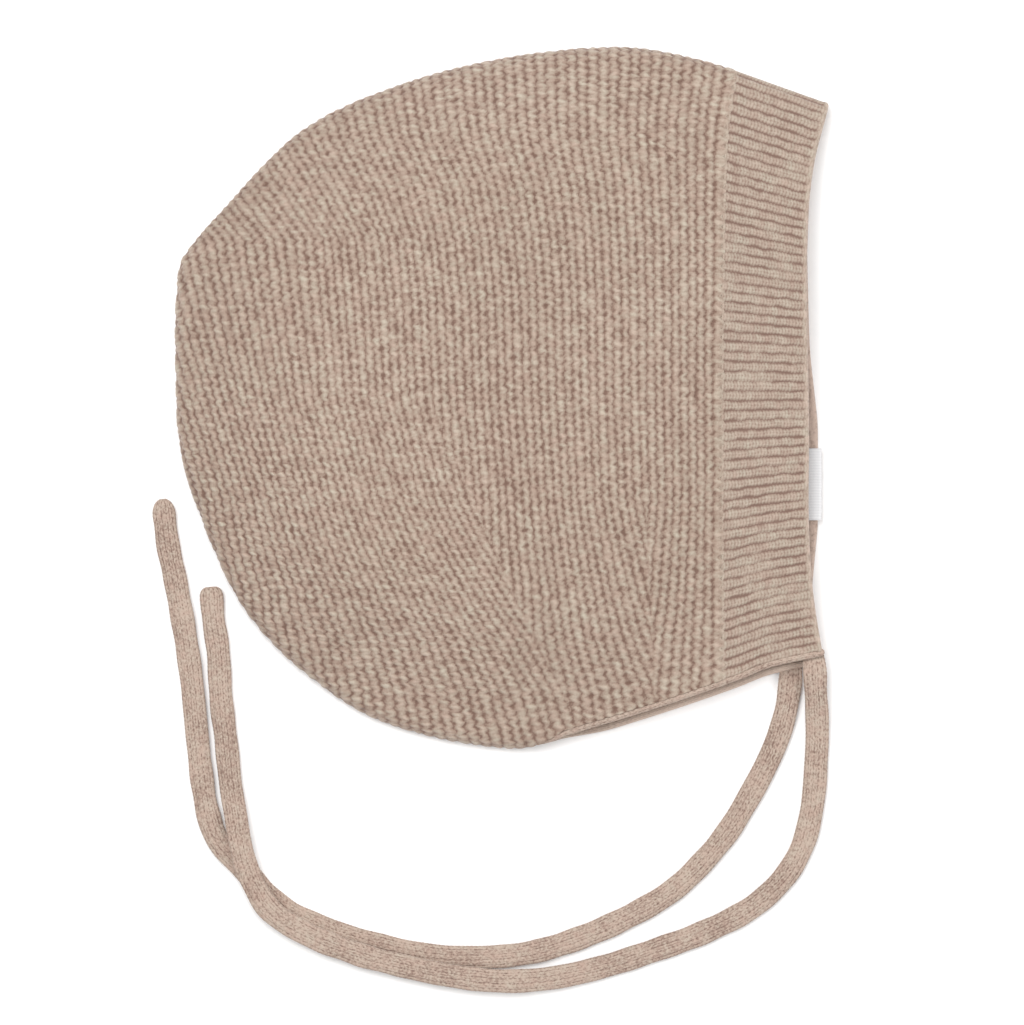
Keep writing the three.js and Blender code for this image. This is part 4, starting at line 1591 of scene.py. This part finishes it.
@dataclass
class Tie:
    """A flat tubular knitted tie, from its chin corner to its free end.

    Args:
        node: the tie's name in the frame.
        route: the middle line, in millimetres.
        length: the tie's real length, which is not used.
        tip: how long the rounded end is.
        blunt: how wide the very end is, as a share of the tie's width.
        columns: columns of stitches round the tie.
        column_samples: corners for each column.
        step: the distance between places along the tie.
        stitch: the length of one stitch.
        relief: how deep the lines between the columns are.
        bead: how deep the notches between stitches are, as a share of that.
        slimmer: how much the width varies, as a share.
        root: how far from the chin corner the tie has its full thickness.
        root_size: its thickness at the corner, as a share.
        roundness: how full the section is, with 2 for an oval.
    """

    node: str
    route: tuple[tuple[float, float, float], ...]
    length: float
    tip: float
    blunt: float
    columns: int = 10
    column_samples: int = 4
    step: float = 0.36 * MM
    stitch: float = 1.05 * MM
    relief: float = 0.22 * MM
    bead: float = 0.3
    slimmer: float = 0.035
    root: float = 6 * MM
    root_size: float = 0.3
    roundness: float = 2.5

    def build(self, material: bpy.types.Material) -> None:
        """Builds the tie and logs the length of its middle line.

        Args:
            material: the finish of both ties.
        """
        line = smooth_line(np.array(self.route) * MM, 24)
        run = float(np.linalg.norm(np.diff(line, axis=0), axis=1).sum())
        log.info("%s: %.1f mm along its middle", self.node, run / MM)
        line = even_line(line, int(run / self.step))
        places_along = np.linspace(0, run, len(line))
        angle = np.linspace(0, 2 * math.pi, self.columns * self.column_samples + 1)
        cos, sin = np.cos(angle), np.sin(angle)
        power = 2 / self.roundness
        wide = TIE_WIDTH / 2 * np.sign(cos) * np.abs(cos) ** power
        high = TIE_THICKNESS / 2 * np.sign(sin) * np.abs(sin) ** power
        around = np.concatenate(([0], np.cumsum(np.hypot(np.diff(wide), np.diff(high)))))
        even = np.linspace(0, around[-1], len(angle))
        wide, high = np.interp(even, around, wide), np.interp(even, around, high)
        column = even / around[-1] * self.columns
        stitches = places_along / self.stitch
        slanted = stitches[:, None] + np.abs(column - np.floor(column) - 0.5)[None, :]
        groove = 1 - np.abs(np.sin(math.pi * column)) ** 0.8
        bead = self.bead * (1 - np.abs(np.sin(math.pi * slanted)))
        sunk = self.relief * np.clip(groove[None, :] + bead, 0, 1)
        slim = 1 - self.slimmer * (1 + wander(places_along[:, None] / (11 * MM), np.zeros((1, 1)), seed=3))
        left = np.clip((run - places_along) / self.tip, 0, 1)[:, None]
        ending = np.sqrt(np.maximum(1 - (1 - left) ** 2, 0.02)) * (1 - self.blunt) + self.blunt
        thin = lerp(self.root_size, 1, smoothstep(places_along, 0.3 * self.root, self.root))[:, None]
        kept = (1 - sunk / np.hypot(wide, high)) * ending
        places = sweep(line, wide * kept * slim, high * kept * thin)
        coordinates = np.stack(np.broadcast_arrays(column[None, :], stitches[:, None]), axis=2)
        piece = grid_piece(self.node + "_knit", places, coordinates, merge=SAME_CORNER)
        piece.data.materials.append(material)
        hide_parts(self.node)


@dataclass
class Label:
    """The bare satin ribbon, folded in two with its fold forward, inside the lower layer of the band.

    Args:
        form: the bonnet's outer form.
        finish: the ribbon's finish.
        height: how long the ribbon is up the band.
        length: how far it goes from its fold back inside.
        thickness: how thick one layer is.
        proud: how far its fold stands past the face edge.
        middle: where its middle lies, as a share of the bonnet's height.
        turn_steps: steps round its fold.
        flat_steps: places along each flat part.
        rows: places up the ribbon.
        lift: how far it waves up and down.
    """

    form: Form
    finish: SatinFinish
    height: float = 18 * MM
    length: float = 5.2 * MM
    thickness: float = 0.35 * MM
    proud: float = 0.8 * MM
    middle: float = -0.123
    turn_steps: int = 10
    flat_steps: int = 12
    rows: int = 60
    lift: float = 0.12 * MM

    def build(self) -> None:
        """Builds the ribbon."""
        half = self.thickness + CLEARANCE / 2
        back = half - self.length
        turn = np.linspace(-math.pi / 2, math.pi / 2, self.turn_steps + 1)
        flat = np.linspace(back, 0, self.flat_steps)
        outer = np.concatenate((
            np.stack((flat[:-1], np.full(self.flat_steps - 1, -half)), axis=1),
            np.stack((half * np.cos(turn), half * np.sin(turn)), axis=1),
            np.stack((flat[-2::-1], np.full(self.flat_steps - 1, half)), axis=1),
        ))
        share = CLEARANCE / 2 / half
        inner = outer[::-1] * np.array([1, share])
        inner[:, 0] = np.where(inner[:, 0] > 0, inner[:, 0] * share, inner[:, 0])
        profile = np.vstack((outer, inner, outer[:1]))
        middle = self.middle * BONNET_HEIGHT
        y = np.linspace(middle - self.height / 2, middle + self.height / 2, self.rows)
        edge = lerp(self.form.face(y, Side.LOWER), float(self.form.face(middle, Side.LOWER)), 0.5)
        x = edge + self.proud - half
        z = BAND_WALL + CLEARANCE + half
        lift = self.lift * np.sin((y - middle) / (self.height / 2) * 2.3)
        places = np.empty((self.rows, len(profile), 3))
        places[..., 0] = x[:, None] + profile[None, :, 0]
        places[..., 1] = y[:, None]
        places[..., 2] = z + lift[:, None] + profile[None, :, 1]
        coordinates = places[..., :2] / MM
        piece = grid_piece("label_ribbon", places, coordinates, merge=SAME_CORNER)
        piece.data.materials.append(self.finish.make())
        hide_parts("label")


class Studio:
    """The plain white floor, the soft light and the camera straight above."""

    MIDDLE = (2.75 * MM, -28.6 * MM)
    FRAME_HEIGHT = 256.25 * MM
    DISTANCE = 2.0
    SENSOR = 36.0
    FLOOR_SIZE = 6.0
    WORLD_STRENGTH = 0.5

    def camera(self) -> None:
        """Puts the camera above the bonnet's middle, looking straight down."""
        data = bpy.data.cameras.new("camera")
        data.sensor_width = self.SENSOR
        data.lens = self.SENSOR * self.DISTANCE / self.FRAME_HEIGHT
        data.clip_start, data.clip_end = 0.1, 20.0
        camera = bpy.data.objects.new("camera", data)
        camera.location = (*self.MIDDLE, self.DISTANCE + FOLD_RADIUS)
        bpy.context.scene.collection.objects.link(camera)
        bpy.context.scene.camera = camera

    def floor(self) -> None:
        """A plain white floor under the bonnet."""
        mesh = bpy.data.meshes.new("floor")
        sheet = bmesh.new()
        bmesh.ops.create_grid(sheet, x_segments=4, y_segments=4, size=self.FLOOR_SIZE / 2)
        sheet.to_mesh(mesh)
        sheet.free()
        floor = bpy.data.objects.new("floor", mesh)
        bpy.context.scene.collection.objects.link(floor)
        nodes = Nodes("floor_white")
        grain = nodes.noise(nodes.object_place(), 60.0)
        tone = nodes.mix(grain, (0.97, 0.97, 0.97, 1), (0.99, 0.99, 0.99, 1))
        floor.data.materials.append(nodes.surface(Base_Color=tone, Roughness=0.9))

    def light(self, name: str, place: tuple[float, float, float], size: float, power: float) -> None:
        """A square soft light that points at the bonnet.

        Args:
            name: the light's name.
            place: where it hangs.
            size: how long its sides are.
            power: its power in watts.
        """
        data = bpy.data.lights.new(name, "AREA")
        data.shape = "SQUARE"
        data.size, data.energy = size, power
        lamp = bpy.data.objects.new(name, data)
        lamp.location = place
        lamp.rotation_mode = "QUATERNION"
        lamp.rotation_quaternion = (-Vector(place)).to_track_quat("-Z", "Y")
        bpy.context.scene.collection.objects.link(lamp)

    def build(self) -> None:
        """Sets the view, the floor and the lights."""
        scene = bpy.context.scene
        scene.view_settings.view_transform = "Standard"
        scene.view_settings.look = "None"
        world = bpy.data.worlds.new("studio")
        world.use_nodes = True
        background = world.node_tree.nodes["Background"]
        background.inputs["Color"].default_value = (1, 1, 1, 1)
        background.inputs["Strength"].default_value = self.WORLD_STRENGTH
        scene.world = world
        self.floor()
        self.light("key", (-0.5, 0.6, 2.2), 1.4, 48.0)
        self.light("fill", (1.4, -0.4, 1.6), 1.2, 14.0)


def main() -> None:
    """Builds the bonnet piece by piece."""
    logging.basicConfig(level=logging.INFO, format="%(name)s: %(message)s")
    studio = Studio()
    studio.camera()
    form = Form()
    tie_knit = PlainFinish("tie_knit", TIE_YARN).make()
    Tie("tie_near", UPPER_TIE_ROUTE, UPPER_TIE_LENGTH, tip=2.2 * MM, blunt=0.4).build(tie_knit)
    Tie("tie_far", LOWER_TIE_ROUTE, LOWER_TIE_LENGTH, tip=4.4 * MM, blunt=0.15).build(tie_knit)
    Crown(form, GarterFinish("garter_knit", CROWN_YARN)).build()
    # The band's pale rolled edge colour is painted light.
    FaceBand(form, RibFinish("rib_knit", BAND_YARN, edge=colour(221, 196, 181), width=26.5)).build()
    # The neck roll is paler from stitch 74 on, along the lower layer: painted light.
    NeckBinding(form, PlainFinish("plain_knit", TIE_YARN, line_depth=0.3, painted_light_from=74)).build()
    satin = SatinFinish("label_satin", base=colour(254, 254, 255), shade=colour(238, 238, 240))
    Label(form, satin).build()
    studio.build()


if __name__ == "__main__":
    main()
